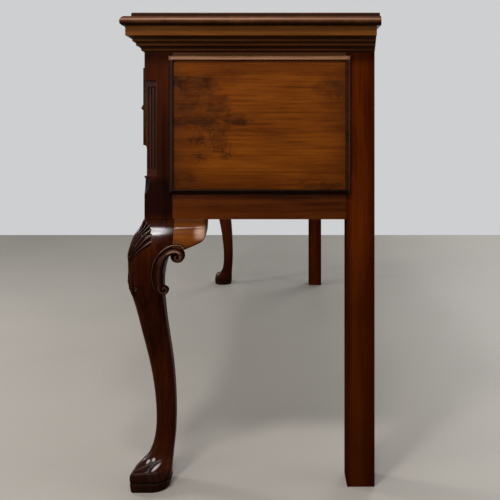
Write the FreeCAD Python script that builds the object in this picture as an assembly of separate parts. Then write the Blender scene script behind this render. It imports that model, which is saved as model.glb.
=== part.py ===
import FreeCAD, Part
import math
import os

os.makedirs("parts", exist_ok=True)

V = FreeCAD.Vector

# Dresser base on carved cabriole front legs and plain square rear legs.
# Millimetres. The origin is on the floor, in the middle of the whole piece.
# X runs along its width, the drawers face -Y and Z is up.

# Case
CASE_WIDTH = 1450.0        # over the outer faces of the legs
CASE_DEPTH = 384.0         # front face of the front legs to the back of the rear legs
LEG_HEIGHT = 446.0         # floor to the underside of the rails
CASE_HEIGHT = 319.0        # underside of the rails to the underside of the top
LEG_SQUARE = 46.0          # stock of all four legs
RAIL_THICK = 22.0
DIVIDER_WIDE = 22.0
DIVIDER_DEEP = 60.0
DRAWER_COUNT = 3
TENON_THICK = 8.0
TENON_LONG = 20.0
TENON_SHOULDER = 6.0       # bare edge above and below each tenon
FIT = 0.1                  # clearance round glued joints
QUARTER_BOW = 1 - math.cos(math.pi / 4)  # bow of a quarter circle over its radius

# Heights of the rails
SIDE_FOOT_RAIL = 47.0
SIDE_HEAD_RAIL = 51.5
APRON_DEEP = 124.0
HEAD_RAIL = 64.0
APRON_RISE = 34.0          # how far the shaped lower edge climbs
APRON_FLAT_END = 150.0     # level stretch beside each leg
APRON_OGEE = 90.0          # length of each rising curve

# Top board
TABLE_THICK = 23.0
NOSE_HIGH = 15.5           # thickness of the rounded lower nose
NOSE_OUT = 34.0            # nose past the case, front and sides
NOSE_BELLY = 5.5           # height of the nose's furthest point
NOSE_SEAT = 28.0           # where the nose starts under the board
NOSE_LOW_BOW = 1.8         # how far the nose's two curves bow
NOSE_HIGH_BOW = 2.0
TABLE_OUT = 18.0           # raised table past the case
TABLE_ROUND = 2.0
BACK_OVERHANG = 6.5

# Cornice below the top, as out, up and upright face of each small member
CORNICE_HIGH = 41.0
CORNICE_OUT = 26.0
FASCIA_HIGH = 15.5
CORNICE_MEMBERS = [(4.5, 3.0, 2.5), (11.5, 10.5, 3.0), (16.5, 17.0, 3.0)]
COVE = 1.2                 # hollow of the curves between the members

# Raised side panels and their planted moulding
PANEL_THICK = 12.0
FIELD_PROUD = 5.0
TONGUE_THICK = 6.0
TONGUE_SET_BACK = 3.0
TONGUE_LONG = 8.0
GROOVE_SPARE = 1.5         # room for the panel to swell
MOULD_WIDE = 8.0
MOULD_LAP = 5.0            # how far it laps over the frame
MOULD_HIGH = 8.5
MOULD_EDGE = 3.0
MOULD_RIDGE = 5.0          # outer edge to the highest line
MOULD_BOW = 1.6
MOULD_HOLLOW = 0.6

# Canted and fluted front corners
CANT = 21.0
CANT_LOW = 72.0            # above the underside of the rails
CANT_HIGH = 160.0
FLUTES = 3
FLUTE_WIDE = 6.0
FLUTE_DEEP = 2.4
FLUTE_PITCH = 8.6
FLUTE_INSET = 12.5         # plain length at each end of the cant
STOP_LEDGE = 3.0           # ledge below the cant
STOP_CHAMFER = 9.0         # lamb's tongue below the ledge
STOP_HIGH = 24.0
STOP_TIP = 0.1

# Cabriole leg: share of the height from foot to rail, reach outward, reach inward,
# corner radius, other radii
LEG_SECTIONS = [
    (1.0000, 1.6, 45.4, 2.0, 2.0),
    (0.9721, 4.8, 45.4, 5.0, 2.2),
    (0.9442, 13.2, 45.3, 9.0, 2.4),
    (0.9120, 19.2, 44.8, 13.0, 3.0),
    (0.8701, 23.9, 42.5, 16.0, 6.0),
    (0.8122, 25.2, 36.5, 18.0, 7.0),
    (0.7446, 23.6, 33.5, 18.0, 8.0),
    (0.6630, 15.6, 35.6, 16.0, 9.0),
    (0.5600, 6.2, 39.8, 14.0, 10.0),
    (0.4226, -5.4, 45.2, 13.0, 11.0),
    (0.2874, -13.2, 48.2, 12.5, 12.0),
    (0.1866, -15.4, 48.8, 12.5, 12.0),
    (0.0900, -11.4, 47.0, 12.0, 13.0),
    (0.0342, 0.8, 45.2, 9.0, 18.0),
    (0.0150, 8.5, 44.4, 6.0, 24.5),
]
KNEE_SECTION_COUNT = 9     # sections from the top that shape the knee
KNEE_OUT = 25.2            # furthest reach of the knee
FOOT_OUT = 21.5
FOOT_IN = 45.3
FOOT_POINT = 4.0
FOOT_ROUND = 28.5
PAD_HIGH = 14.0
SHOE_HIGH = 15.0
SHOE_TAPER = 2.2
FOOT_GROOVE = 1.4
PAD_SHELF = 0.8            # narrow flat round the top of the pad
PAD_SINK = 2.0             # how far the leg's curve runs down into the pad

# Knee blocks and the C scroll that runs from leg to block
EAR_LONG = 61.0            # past the leg, along the rail
EAR_INSIDE = 22.0
EAR_END_ROUND = 10.0
EAR_END_OUT = 24.5         # where the rounding of its end starts
# Lower edge of the ear as distance from its end, drop below the rail and bow
EAR_EDGE = [(0.0, 0.0), (1.0, 12.0), (10.0, 34.0, 3.0), (39.0, 49.0, 1.5), (EAR_LONG, 47.0)]
SCROLL_PROUD = 2.5
SCROLL_DEPTH = 24.0
CURL_HIGH = 57.5           # upper curl's middle, below the rail
CURL_IN = 59.0             # and from the corner of the leg
CURL_RADIUS = 8.2
TAIL_HIGH = 113.5          # lower curl
TAIL_IN = 35.5
TAIL_RADIUS = 6.5
CURL_MEETS_IN = 6.6        # where the band runs into each curl, from the curl's middle
CURL_MEETS_HIGH = 4.9
TAIL_MEETS_LOW = 5.2
# Band between the curls as distance in from the corner, drop below the rail and bow
SCROLL_BAND = [
    (CURL_IN + CURL_RADIUS, CURL_HIGH),
    (54.1, 39.5, -6.2),
    (17.0, 92.0, -6.5),
    (TAIL_IN - TAIL_RADIUS, TAIL_HIGH + TAIL_MEETS_LOW, -4.0),
    (TAIL_IN, TAIL_HIGH),
    (TAIL_IN, TAIL_HIGH - TAIL_RADIUS),
    (37.0, 75.0, 1.5),
    (CURL_IN - CURL_MEETS_IN, CURL_HIGH - CURL_MEETS_HIGH, 2.0),
]

# Drawers
LIP_LAP = 7.0
LIP_OUT = 11.0
LIP_GAP = 0.3
LIP_ROUND = 5.5
LIP_STEP = 1.5
FRONT_BODY = 14.0          # part of the drawer front inside the opening
DRAWER_GAP = 1.0
DRAWER_SEAT = 0.3
DRAWER_BACK_GAP = 25.0     # drawers to the back board
SIDE_THICK = 12.0
REAR_THICK = 12.0
BOTTOM_THICK = 7.0
BOTTOM_GROOVE = 6.0
BOTTOM_UP = 12.0
DOVETAIL_LONG = 11.0
DOVETAILS = 3
DOVETAIL_NARROW = 0.5      # part of the pitch that a tail's narrow end takes
DOVETAIL_SLOPE = 3.0
RUNNER_WIDE = 30.0
RUNNER_HIGH = 22.0
GUIDE_WIDE = 12.0
GUIDE_HIGH = 24.0

# Handles: two bails on each drawer
HANDLE_SPREAD = 220.0      # middle to middle of a drawer's two bails
POST_SPREAD = 90.0
ROSE_RADIUS = 12.0
ROSE_THICK = 2.5
NECK_RADIUS = 3.6
# Face of the rose as radius, height and bow
ROSE_FACE = [(ROSE_RADIUS, 0.9), (9.8, 1.4, 0.2), (9.4, 1.0), (NECK_RADIUS, ROSE_THICK, -0.5)]
PIVOT_OUT = 8.0            # bail's pivot in front of the drawer
BALL_RADIUS = 4.8
BALL_OUT = 12.1
BOLT_RADIUS = 2.5
BOLT_SPARE = 2.0           # bolt past its nut
NUT_RADIUS = 6.0
NUT_THICK = 4.0
PIN_RADIUS = 1.6
PIN_CLEAR = 0.2
BAIL_RADIUS = 2.4
BAIL_KNUCKLE = 2.8         # ball where the pin meets the arm
BAIL_ELBOW = 8.5           # bail's arm outside the post's middle
BAIL_DROP = 8.0
BAIL_BEND = 15.0
BAIL_TURN = 115.0          # degrees that each corner of the bail turns

# Buttons that hold the top
BUTTON_WIDE = 32.0
BUTTON_LONG = 34.0
BUTTON_THICK = 18.0
BUTTON_TONGUE = 8.0
BUTTON_TONGUE_THICK = 8.0
BUTTON_DROP = 10.0         # top of the rail's slot below the top board
SCREW_RADIUS = 2.0
SCREW_HEAD = 4.2
SCREW_HEAD_THICK = 2.5
SCREW_BITE = 13.0

# Places that follow from the sizes
HALF = CASE_WIDTH / 2
FRONT = -(CASE_DEPTH + BACK_OVERHANG - NOSE_OUT) / 2
BACK = FRONT + CASE_DEPTH
CASE_TOP = LEG_HEIGHT + CASE_HEIGHT
INNER = HALF - LEG_SQUARE
APRON_TOP = LEG_HEIGHT + APRON_DEEP
HEAD_LOW = CASE_TOP - HEAD_RAIL
OPENING_WIDE = (2 * INNER - (DRAWER_COUNT - 1) * DIVIDER_WIDE) / DRAWER_COUNT
OPENING_STEP = OPENING_WIDE + DIVIDER_WIDE
SIDE_LOW = LEG_HEIGHT + SIDE_FOOT_RAIL
SIDE_HIGH = CASE_TOP - SIDE_HEAD_RAIL
TENON_INSET = (RAIL_THICK - TENON_THICK) / 2
DRAWER_LONG = CASE_DEPTH - RAIL_THICK / 2 - TONGUE_THICK / 2 - DRAWER_BACK_GAP
CORNER = V(HALF, FRONT, 0)
FOOT_TOP = SHOE_HIGH + FOOT_GROOVE + PAD_HIGH
BIG = 2 * (CASE_WIDTH + CASE_DEPTH + CASE_TOP)


def save(name, shape):
    shape.exportStep("parts/%s.step" % name)


def mirrored(shape):
    return shape.mirror(V(0, 0, 0), V(1, 0, 0))


def save_pair(name, right_shape):
    save(name + "_right", right_shape)
    save(name + "_left", mirrored(right_shape))


def box(x0, x1, y0, y1, z0, z1):
    return Part.makeBox(x1 - x0, y1 - y0, z1 - z0, V(x0, y0, z0))


def rod(radius, start, end):
    run = end - start
    return Part.makeCylinder(radius, run.Length, start, run)


def flat(place, steps):
    """Face inside a closed outline. Two numbers are a straight step to a point,
    and a third is how far an arc to that point bows to the left of the way there."""
    edges = []
    here = steps[0][:2]
    for step in steps[1:] + [steps[0][:2]]:
        end = step[:2]
        run = (end[0] - here[0], end[1] - here[1])
        length = math.hypot(*run)
        if length < 1e-6:
            continue
        if len(step) == 3:
            middle = ((here[0] + end[0]) / 2 - run[1] / length * step[2],
                      (here[1] + end[1]) / 2 + run[0] / length * step[2])
            edges.append(Part.Arc(place(*here), place(*middle), place(*end)).toShape())
        else:
            edges.append(Part.makeLine(place(*here), place(*end)))
        here = end
    return Part.Face(Part.Wire(edges))


def along_x(steps, x0, x1):
    """Solid from an outline in Y and Z."""
    return flat(lambda y, z: V(x0, y, z), steps).extrude(V(x1 - x0, 0, 0))


def along_y(steps, y0, y1):
    """Solid from an outline in X and Z."""
    return flat(lambda x, z: V(x, y0, z), steps).extrude(V(0, y1 - y0, 0))


def along_z(steps, z0, z1):
    """Solid from an outline in X and Y."""
    return flat(lambda x, y: V(x, y, z0), steps).extrude(V(0, 0, z1 - z0))


def drawer_middles():
    first = -OPENING_STEP * (DRAWER_COUNT - 1) / 2
    return [first + OPENING_STEP * i for i in range(DRAWER_COUNT)]


def divider_middles():
    return [x + OPENING_STEP / 2 for x in drawer_middles()[:-1]]


def button_places():
    """Middle of each button's tongue end, and the way its tongue points."""
    places = []
    for x in drawer_middles():
        places.append((V(x, FRONT + RAIL_THICK, 0), V(0, -1, 0)))
        places.append((V(x, BACK - RAIL_THICK, 0), V(0, 1, 0)))
    for side in (-1, 1):
        places.append((V(side * (HALF - RAIL_THICK), (FRONT + BACK) / 2, 0), V(side, 0, 0)))
    return places


def turned_box(place, way, along, across, z0, z1):
    """Box measured along the way from a place, and across it."""
    side = V(-way.y, way.x, 0)
    corners = [place + way * along[0] - side * across / 2, place + way * along[1] + side * across / 2]
    low = V(min(c.x for c in corners), min(c.y for c in corners), 0)
    high = V(max(c.x for c in corners), max(c.y for c in corners), 0)
    return box(low.x, high.x, low.y, high.y, z0, z1)


def button_slot(place, way):
    top = CASE_TOP - BUTTON_DROP + FIT
    low = CASE_TOP - BUTTON_DROP - BUTTON_TONGUE_THICK - FIT
    return turned_box(place, way, (-FIT, BUTTON_TONGUE + FIT), BUTTON_WIDE + 2 * FIT, low, top)


def cut_button_slots(rail):
    for place, way in button_places():
        rail = rail.cut(button_slot(place, way))
    return rail


def screw(place, way):
    middle = place - way * (BUTTON_LONG / 2)
    low = CASE_TOP - BUTTON_THICK
    head = rod(SCREW_HEAD, middle + V(0, 0, low - SCREW_HEAD_THICK), middle + V(0, 0, low))
    shank = rod(SCREW_RADIUS, middle + V(0, 0, low), middle + V(0, 0, CASE_TOP + SCREW_BITE))
    return head.fuse(shank)


def top_board():
    left = -HALF - NOSE_OUT
    crown = NOSE_OUT - NOSE_SEAT

    def edge(at, way):
        """Edge of the board from its underside to the table, outward from a face."""
        return [(at + way * NOSE_SEAT, CASE_TOP),
                (at + way * NOSE_OUT, CASE_TOP + NOSE_BELLY, -way * NOSE_LOW_BOW),
                (at + way * (NOSE_OUT - crown), CASE_TOP + NOSE_HIGH, -way * NOSE_HIGH_BOW),
                (at + way * TABLE_OUT, CASE_TOP + NOSE_HIGH),
                (at + way * TABLE_OUT, CASE_TOP + TABLE_THICK - TABLE_ROUND),
                (at + way * (TABLE_OUT - TABLE_ROUND), CASE_TOP + TABLE_THICK,
                 -way * TABLE_ROUND * QUARTER_BOW)]

    back = BACK + BACK_OVERHANG
    front_edge = edge(FRONT, -1)
    long_way = along_x(front_edge + [(back, CASE_TOP + TABLE_THICK), (back, CASE_TOP)], left, -left)
    right_edge = edge(HALF, 1)
    left_edge = edge(-HALF, -1)
    across = along_y(left_edge + [right_edge[-1][:2]]
                     + reversed_edge(right_edge), FRONT - NOSE_OUT, back)
    board = long_way.common(across)
    for place, way in button_places():
        board = board.cut(screw(place, way))
    return board


def reversed_edge(steps):
    """The same edge walked the other way, so its arcs bow the other way too."""
    result = []
    for ahead, step in zip(reversed(steps), reversed(steps[:-1])):
        bow = (-ahead[2],) if len(ahead) == 3 else ()
        result.append(step[:2] + bow)
    return result


def cornice_section(at, way):
    """Cornice outline, outward from a face of the case."""
    base = CASE_TOP - CORNICE_HIGH
    steps = [(at, base)]
    for out, up, face in CORNICE_MEMBERS:
        steps.append((at + way * out, base + up, way * COVE))
        steps.append((at + way * out, base + up + face))
    steps.append((at + way * CORNICE_OUT, CASE_TOP - FASCIA_HIGH, way * COVE))
    steps.append((at + way * CORNICE_OUT, CASE_TOP))
    steps.append((at, CASE_TOP))
    return steps


def cornices():
    left = HALF + CORNICE_OUT
    front = along_x(cornice_section(FRONT, -1), -left, left)
    mitre = [(-left, FRONT - CORNICE_OUT), (left, FRONT - CORNICE_OUT), (HALF, FRONT), (-HALF, FRONT)]
    save("cornice_front", front.common(along_z(mitre, LEG_HEIGHT, CASE_TOP)))
    side = along_y(cornice_section(HALF, 1), FRONT - CORNICE_OUT, BACK)
    mitre = [(HALF, FRONT), (left, FRONT - CORNICE_OUT), (left, BACK), (HALF, BACK)]
    save_pair("cornice", side.common(along_z(mitre, LEG_HEIGHT, CASE_TOP)))


def section_wire(height, out, inward, corner, others):
    """Rounded square across the leg. The leg's own corner stands at the origin,
    its side faces +X, its front faces -Y, and the leg is behind them."""
    low = -out
    steps = [(low + corner, low), (inward - others, low), (inward, low + others), (inward, inward - others),
             (inward - others, inward), (low + others, inward), (low, inward - others), (low, low + corner)]
    centres = [(inward - others, low + others), (inward - others, inward - others),
               (low + others, inward - others), (low + corner, low + corner)]
    radii = [others, others, others, corner]
    turns = [-45, 45, 135, 225]
    points = [V(-x, y, height) for x, y in steps]
    edges = []
    for i in range(4):
        start = points[2 * i]
        end = points[2 * i + 1]
        after = points[(2 * i + 2) % 8]
        angle = math.radians(turns[i])
        middle = V(-centres[i][0] - radii[i] * math.cos(angle),
                   centres[i][1] + radii[i] * math.sin(angle), height)
        edges.append(Part.makeLine(start, end))
        edges.append(Part.Arc(end, middle, after).toShape())
    return Part.Wire(edges)


def pad(low, high, out_low, out_high):
    """One layer of the foot, rounded behind and pointed at the corner."""
    wires = []
    for height, out in ((low, out_low), (high, out_high)):
        spare = out - FOOT_OUT
        wires.append(section_wire(height, out, FOOT_IN + spare, FOOT_POINT, FOOT_ROUND + spare))
    return Part.makeLoft(wires, True, True)


def foot():
    groove_low = SHOE_HIGH
    groove_high = SHOE_HIGH + FOOT_GROOVE
    inset = FOOT_OUT - FOOT_GROOVE
    shoe = pad(0, groove_low, FOOT_OUT - SHOE_TAPER, FOOT_OUT)
    waist = pad(groove_low, groove_high, inset, inset)
    upper = pad(groove_high, groove_high + PAD_HIGH, FOOT_OUT, FOOT_OUT)
    return shoe.fuse([waist, upper])


def knee_height(share):
    return FOOT_TOP + (LEG_HEIGHT - FOOT_TOP) * share


def cabriole():
    """The curved leg from the underside of the rails down to its foot."""
    wires = []
    for share, out, inward, corner, others in LEG_SECTIONS:
        wires.append(section_wire(knee_height(share), out, inward, corner, others))
    wires.append(section_wire(FOOT_TOP - PAD_SINK, FOOT_OUT - PAD_SHELF, FOOT_IN - PAD_SHELF,
                              FOOT_POINT - PAD_SHELF, FOOT_ROUND - PAD_SHELF))
    return Part.makeLoft(wires, True, False).fuse(foot())


def skin(proud):
    """Everything inside the knee's outer surface, seen along the side rail."""
    points = []
    for share, out, *_ in LEG_SECTIONS[:KNEE_SECTION_COUNT]:
        points.append(V(out + proud, 0, knee_height(share)))
    curve = Part.BSplineCurve()
    curve.interpolate(points)
    first = V(-LEG_SQUARE, 0, points[0].z)
    last = V(-LEG_SQUARE, 0, points[-1].z)
    edges = [curve.toShape(), Part.makeLine(points[-1], last), Part.makeLine(last, first),
             Part.makeLine(first, points[0])]
    face = Part.Face(Part.Wire(edges))
    return face.extrude(V(0, LEG_SQUARE + EAR_LONG, 0))


def scroll():
    """Raised C scroll on the outer side of the knee, with a curl at each end."""
    x0 = KNEE_OUT - SCROLL_DEPTH
    x1 = LEG_SQUARE
    carving = along_x([(step[0], LEG_HEIGHT - step[1]) + step[2:] for step in SCROLL_BAND], x0, x1)
    for inward, below, radius in ((CURL_IN, CURL_HIGH, CURL_RADIUS), (TAIL_IN, TAIL_HIGH, TAIL_RADIUS)):
        centre = V(x0, inward, LEG_HEIGHT - below)
        carving = carving.fuse(rod(radius, centre, centre + V(x1 - x0, 0, 0)))
    return carving.common(skin(SCROLL_PROUD))


def to_front(shape):
    """The same form turned from the side of the leg's corner to its front."""
    return shape.mirror(V(0, 0, 0), V(1, 1, 0))


def tenon_slot(z0, z1, face):
    """Mortise in the corner post for a rail that runs from this face."""
    low = z0 + TENON_SHOULDER - FIT
    high = z1 - TENON_SHOULDER + FIT
    near = TENON_INSET - FIT
    far = TENON_INSET + TENON_THICK + FIT
    deep = LEG_SQUARE - TENON_LONG - FIT
    if face == "side":
        return box(HALF - far, HALF - near, FRONT + deep, FRONT + LEG_SQUARE, low, high)
    return box(HALF - LEG_SQUARE, HALF - deep, FRONT + near, FRONT + far, low, high)


def panel_groove():
    """Groove for the side panel's tongue, round the whole panel opening."""
    x1 = HALF - TONGUE_SET_BACK + FIT
    x0 = HALF - TONGUE_SET_BACK - TONGUE_THICK - FIT
    reach = TONGUE_LONG + GROOVE_SPARE
    y0 = FRONT + LEG_SQUARE - reach
    y1 = BACK - LEG_SQUARE + reach
    return box(x0, x1, y0, y1, SIDE_LOW - reach, SIDE_HIGH + reach)


def corner_outline(size, height):
    """Triangle that reaches this far along both faces from the leg's corner."""
    return Part.makePolygon([V(0, 0, height), V(0, size, height), V(-size, 0, height), V(0, 0, height)])


def fluted_corner(leg):
    """Cants the corner between two ledges, flutes it and ends it in a lamb's tongue."""
    low = LEG_HEIGHT + CANT_LOW
    high = low + CANT_HIGH
    leg = leg.cut(Part.Face(corner_outline(CANT, low)).extrude(V(0, 0, CANT_HIGH)))
    middle = V(-CANT / 2, CANT / 2, 0)
    across = V(1, 1, 0).normalize()
    outward = V(1, -1, 0).normalize()
    radius = FLUTE_WIDE ** 2 / (8 * FLUTE_DEEP) + FLUTE_DEEP / 2
    for i in range(FLUTES):
        offset = (i - (FLUTES - 1) / 2) * FLUTE_PITCH
        axis = middle + across * offset + outward * (radius - FLUTE_DEEP)
        leg = leg.cut(rod(radius, axis + V(0, 0, low + FLUTE_INSET), axis + V(0, 0, high - FLUTE_INSET)))
    stop = low - STOP_LEDGE
    return leg.cut(Part.makeLoft([corner_outline(STOP_CHAMFER, stop),
                                  corner_outline(STOP_TIP, stop - STOP_HIGH)], True, True))


def knee_leg():
    """Right front leg: square post, canted corner, scrolled knee and pointed foot."""
    post = fluted_corner(box(-LEG_SQUARE, 0, 0, LEG_SQUARE, LEG_HEIGHT, CASE_TOP))
    carving = scroll().cut(box(-BIG, BIG, LEG_SQUARE, BIG, 0, CASE_TOP))
    leg = cabriole().fuse([post, carving, to_front(carving)]).translated(CORNER)
    cuts = [tenon_slot(LEG_HEIGHT, SIDE_LOW, "side"), tenon_slot(SIDE_HIGH, CASE_TOP, "side"),
            tenon_slot(LEG_HEIGHT, APRON_TOP, "front"), tenon_slot(HEAD_LOW, CASE_TOP, "front"),
            panel_groove()]
    return leg.cut(cuts)


def rear_leg():
    """Right rear leg: one straight square post from floor to top."""
    leg = box(INNER, HALF, BACK - LEG_SQUARE, BACK, 0, CASE_TOP)
    turn = V(0, (FRONT + BACK) / 2, 0)
    slots = [tenon_slot(LEG_HEIGHT, SIDE_LOW, "side"), tenon_slot(SIDE_HIGH, CASE_TOP, "side"),
             tenon_slot(LEG_HEIGHT, APRON_TOP, "front"), tenon_slot(HEAD_LOW, CASE_TOP, "front")]
    cuts = [slot.mirror(turn, V(0, 1, 0)) for slot in slots]
    cuts += [panel_groove(), back_groove()]
    return leg.cut(cuts)


def knee_block():
    """Side knee block beside the leg, under the side rail, with its part of the scroll."""
    start = LEG_SQUARE
    end = start + EAR_LONG
    top = LEG_HEIGHT
    edge = [(end - step[0], top - step[1]) + step[2:] for step in EAR_EDGE]
    outline = along_x([(start, top)] + edge, -EAR_INSIDE, BIG)
    plan = along_z([
        (-EAR_INSIDE, start), (BIG, start), (BIG, end - EAR_END_ROUND),
        (EAR_END_OUT, end - EAR_END_ROUND),
        (EAR_END_OUT - EAR_END_ROUND, end, EAR_END_ROUND * QUARTER_BOW),
        (-EAR_INSIDE, end)], 0, CASE_TOP)
    ear = outline.common(skin(0)).common(plan)
    carving = scroll().common(box(-LEG_SQUARE, BIG, start, end, 0, top))
    return ear.fuse(carving)


def tenon(x0, x1, y0, y1, z0, z1):
    return box(x0, x1, y0, y1, z0 + TENON_SHOULDER, z1 - TENON_SHOULDER)


def side_rail(z0, z1):
    """Rail between the right front and rear legs, flush with their faces."""
    y0 = FRONT + LEG_SQUARE
    y1 = BACK - LEG_SQUARE
    rail = box(HALF - RAIL_THICK, HALF, y0, y1, z0, z1)
    x0 = HALF - TENON_INSET - TENON_THICK
    ends = tenon(x0, x0 + TENON_THICK, y0 - TENON_LONG, y1 + TENON_LONG, z0, z1)
    return cut_button_slots(rail.fuse(ends).cut(panel_groove()))


def side_panel():
    """Raised panel: its field stands proud of the frame inside the moulding."""
    y0 = FRONT + LEG_SQUARE
    y1 = BACK - LEG_SQUARE
    core = box(HALF - PANEL_THICK, HALF, y0 + FIT, y1 - FIT, SIDE_LOW + FIT, SIDE_HIGH - FIT)
    x1 = HALF - TONGUE_SET_BACK
    grow = TONGUE_LONG
    tongue = box(x1 - TONGUE_THICK, x1, y0 - grow, y1 + grow, SIDE_LOW - grow, SIDE_HIGH + grow)
    edge = MOULD_WIDE - MOULD_LAP
    field = box(HALF, HALF + FIELD_PROUD, y0 + edge, y1 - edge, SIDE_LOW + edge, SIDE_HIGH - edge)
    return core.fuse([tongue, field])


def mould_section(at, way, place_out):
    """Planted moulding across its width, inward from its outer edge."""
    return [(place_out(0), at), (place_out(MOULD_EDGE), at),
            (place_out(MOULD_HIGH), at + way * MOULD_RIDGE, -way * MOULD_BOW),
            (place_out(FIELD_PROUD), at + way * MOULD_WIDE, -way * MOULD_HOLLOW),
            (place_out(0), at + way * MOULD_WIDE)]


def panel_moulding():
    """Four mitred strips round the panel, lapping over the frame."""
    y0 = FRONT + LEG_SQUARE - MOULD_LAP
    y1 = BACK - LEG_SQUARE + MOULD_LAP
    z0 = SIDE_LOW - MOULD_LAP
    z1 = SIDE_HIGH + MOULD_LAP
    wide = MOULD_WIDE

    def out(amount):
        return HALF + amount
    strips = []
    for at, way in ((z0, 1), (z1, -1)):
        strip = along_y(mould_section(at, way, out), y0, y1)
        inner = at + way * wide
        mitre = [(y0, at), (y1, at), (y1 - wide, inner), (y0 + wide, inner)]
        strips.append(strip.common(along_x(mitre, HALF, HALF + BIG)))
    for at, way in ((y0, 1), (y1, -1)):
        strip = along_z(mould_section(at, way, out), z0, z1)
        inner = at + way * wide
        mitre = [(at, z0), (at, z1), (inner, z1 - wide), (inner, z0 + wide)]
        strips.append(strip.common(along_x(mitre, HALF, HALF + BIG)))
    return Part.makeCompound(strips)


def cross_rail(y0, z0, z1, tenon_y):
    """Rail across the whole case between two legs."""
    rail = box(-INNER, INNER, y0, y0 + RAIL_THICK, z0, z1)
    ends = tenon(-INNER - TENON_LONG, INNER + TENON_LONG, tenon_y, tenon_y + TENON_THICK, z0, z1)
    return rail.fuse(ends)


def divider_tenon(x, z0, z1):
    y0 = FRONT + TENON_INSET
    return box(x - TENON_THICK / 2, x + TENON_THICK / 2, y0, y0 + TENON_THICK, z0, z1)


def divider_mortises(x):
    """Mortises for a divider's tenons, with the joint's clearance."""
    y0 = FRONT + TENON_INSET - FIT
    half = TENON_THICK / 2 + FIT
    low = APRON_TOP - TENON_LONG / 2 - FIT
    high = HEAD_LOW + TENON_LONG / 2 + FIT
    return box(x - half, x + half, y0, y0 + TENON_THICK + 2 * FIT, low, high)


def front_head_rail():
    rail = cross_rail(FRONT, HEAD_LOW, CASE_TOP, FRONT + TENON_INSET)
    for x in divider_middles():
        rail = rail.cut(divider_mortises(x))
    return cut_button_slots(rail)


def apron():
    """Deep front rail whose lower edge rises between the knees."""
    rail = cross_rail(FRONT, LEG_HEIGHT, APRON_TOP, FRONT + TENON_INSET)
    low = LEG_HEIGHT
    high = LEG_HEIGHT + APRON_RISE
    start = INNER - APRON_FLAT_END
    middle = start - APRON_OGEE / 2
    end = start - APRON_OGEE
    half = (low + high) / 2
    bow = math.hypot(APRON_OGEE, APRON_RISE) / 4 * math.tan(math.atan2(APRON_RISE, APRON_OGEE) / 2)
    opening = along_y([
        (-start, low - APRON_RISE), (-start, low), (-middle, half, -bow), (-end, high, bow),
        (end, high), (middle, half, bow), (start, low, -bow), (start, low - APRON_RISE)],
        FRONT, FRONT + RAIL_THICK)
    rail = rail.cut(opening)
    for x in divider_middles():
        rail = rail.cut(divider_mortises(x))
    return rail


def divider(x):
    """Upright between two drawers."""
    half = DIVIDER_WIDE / 2
    body = box(x - half, x + half, FRONT, FRONT + DIVIDER_DEEP, APRON_TOP, HEAD_LOW)
    reach = TENON_LONG / 2
    return body.fuse(divider_tenon(x, APRON_TOP - reach, HEAD_LOW + reach))


def back_groove():
    """Groove for the back board, in the legs and both back rails."""
    y1 = BACK - RAIL_THICK / 2 + TONGUE_THICK / 2 + FIT
    reach = TONGUE_LONG + GROOVE_SPARE
    return box(-INNER - reach, INNER + reach, y1 - TONGUE_THICK - 2 * FIT, y1,
               APRON_TOP - reach, HEAD_LOW + reach)


def back_rail(z0, z1):
    rail = cross_rail(BACK - RAIL_THICK, z0, z1, BACK - TENON_INSET - TENON_THICK)
    return cut_button_slots(rail.cut(back_groove()))


def back_board():
    y1 = BACK - RAIL_THICK / 2 + TONGUE_THICK / 2
    grow = TONGUE_LONG
    return box(-INNER - grow, INNER + grow, y1 - TONGUE_THICK, y1, APRON_TOP - grow, HEAD_LOW + grow)


def runner_strips(z0, z1):
    """Strips front to back beside each leg and behind each divider."""
    y0 = FRONT + RAIL_THICK
    y1 = BACK - RAIL_THICK
    strips = []
    for side in (-1, 1):
        x0 = side * (HALF - RAIL_THICK)
        x1 = side * (INNER - RUNNER_WIDE)
        strip = box(min(x0, x1), max(x0, x1), y0, y1, z0, z1)
        leg_left = INNER if side > 0 else -HALF
        for y in (FRONT, BACK - LEG_SQUARE):
            strip = strip.cut(box(leg_left, leg_left + LEG_SQUARE, y, y + LEG_SQUARE, z0, z1))
        strips.append(strip)
    for x in divider_middles():
        half = DIVIDER_WIDE / 2 + RUNNER_WIDE
        strips.append(box(x - half, x + half, y0, y1, z0, z1))
    return strips


def drawer_runners():
    return Part.makeCompound(runner_strips(APRON_TOP - RUNNER_HIGH, APRON_TOP))


def drawer_kickers():
    return Part.makeCompound(runner_strips(HEAD_LOW, HEAD_LOW + RUNNER_HIGH))


def drawer_guides():
    """Strips on the runners that keep the drawers straight."""
    strips = []
    high = APRON_TOP + GUIDE_HIGH
    for side in (-1, 1):
        x0 = side * INNER
        x1 = side * (INNER + GUIDE_WIDE)
        strips.append(box(min(x0, x1), max(x0, x1), FRONT + LEG_SQUARE, BACK - LEG_SQUARE, APRON_TOP, high))
    half = DIVIDER_WIDE / 2
    for x in divider_middles():
        strips.append(box(x - half, x + half, FRONT + DIVIDER_DEEP, BACK - RAIL_THICK, APRON_TOP, high))
    return Part.makeCompound(strips)


def buttons():
    """Turn buttons: a tongue in the rail's slot and a block screwed to the top."""
    pieces = []
    for place, way in button_places():
        block = turned_box(place, way, (-BUTTON_LONG, -FIT), BUTTON_WIDE, CASE_TOP - BUTTON_THICK, CASE_TOP)
        tongue_top = CASE_TOP - BUTTON_DROP
        tongue = turned_box(place, way, (-FIT, BUTTON_TONGUE), BUTTON_WIDE,
                            tongue_top - BUTTON_TONGUE_THICK, tongue_top)
        middle = place - way * (BUTTON_LONG / 2)
        hole = rod(SCREW_RADIUS, middle + V(0, 0, CASE_TOP - BUTTON_THICK), middle + V(0, 0, CASE_TOP))
        pieces.append(block.fuse(tongue).cut(hole))
    return Part.makeCompound(pieces)


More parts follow.
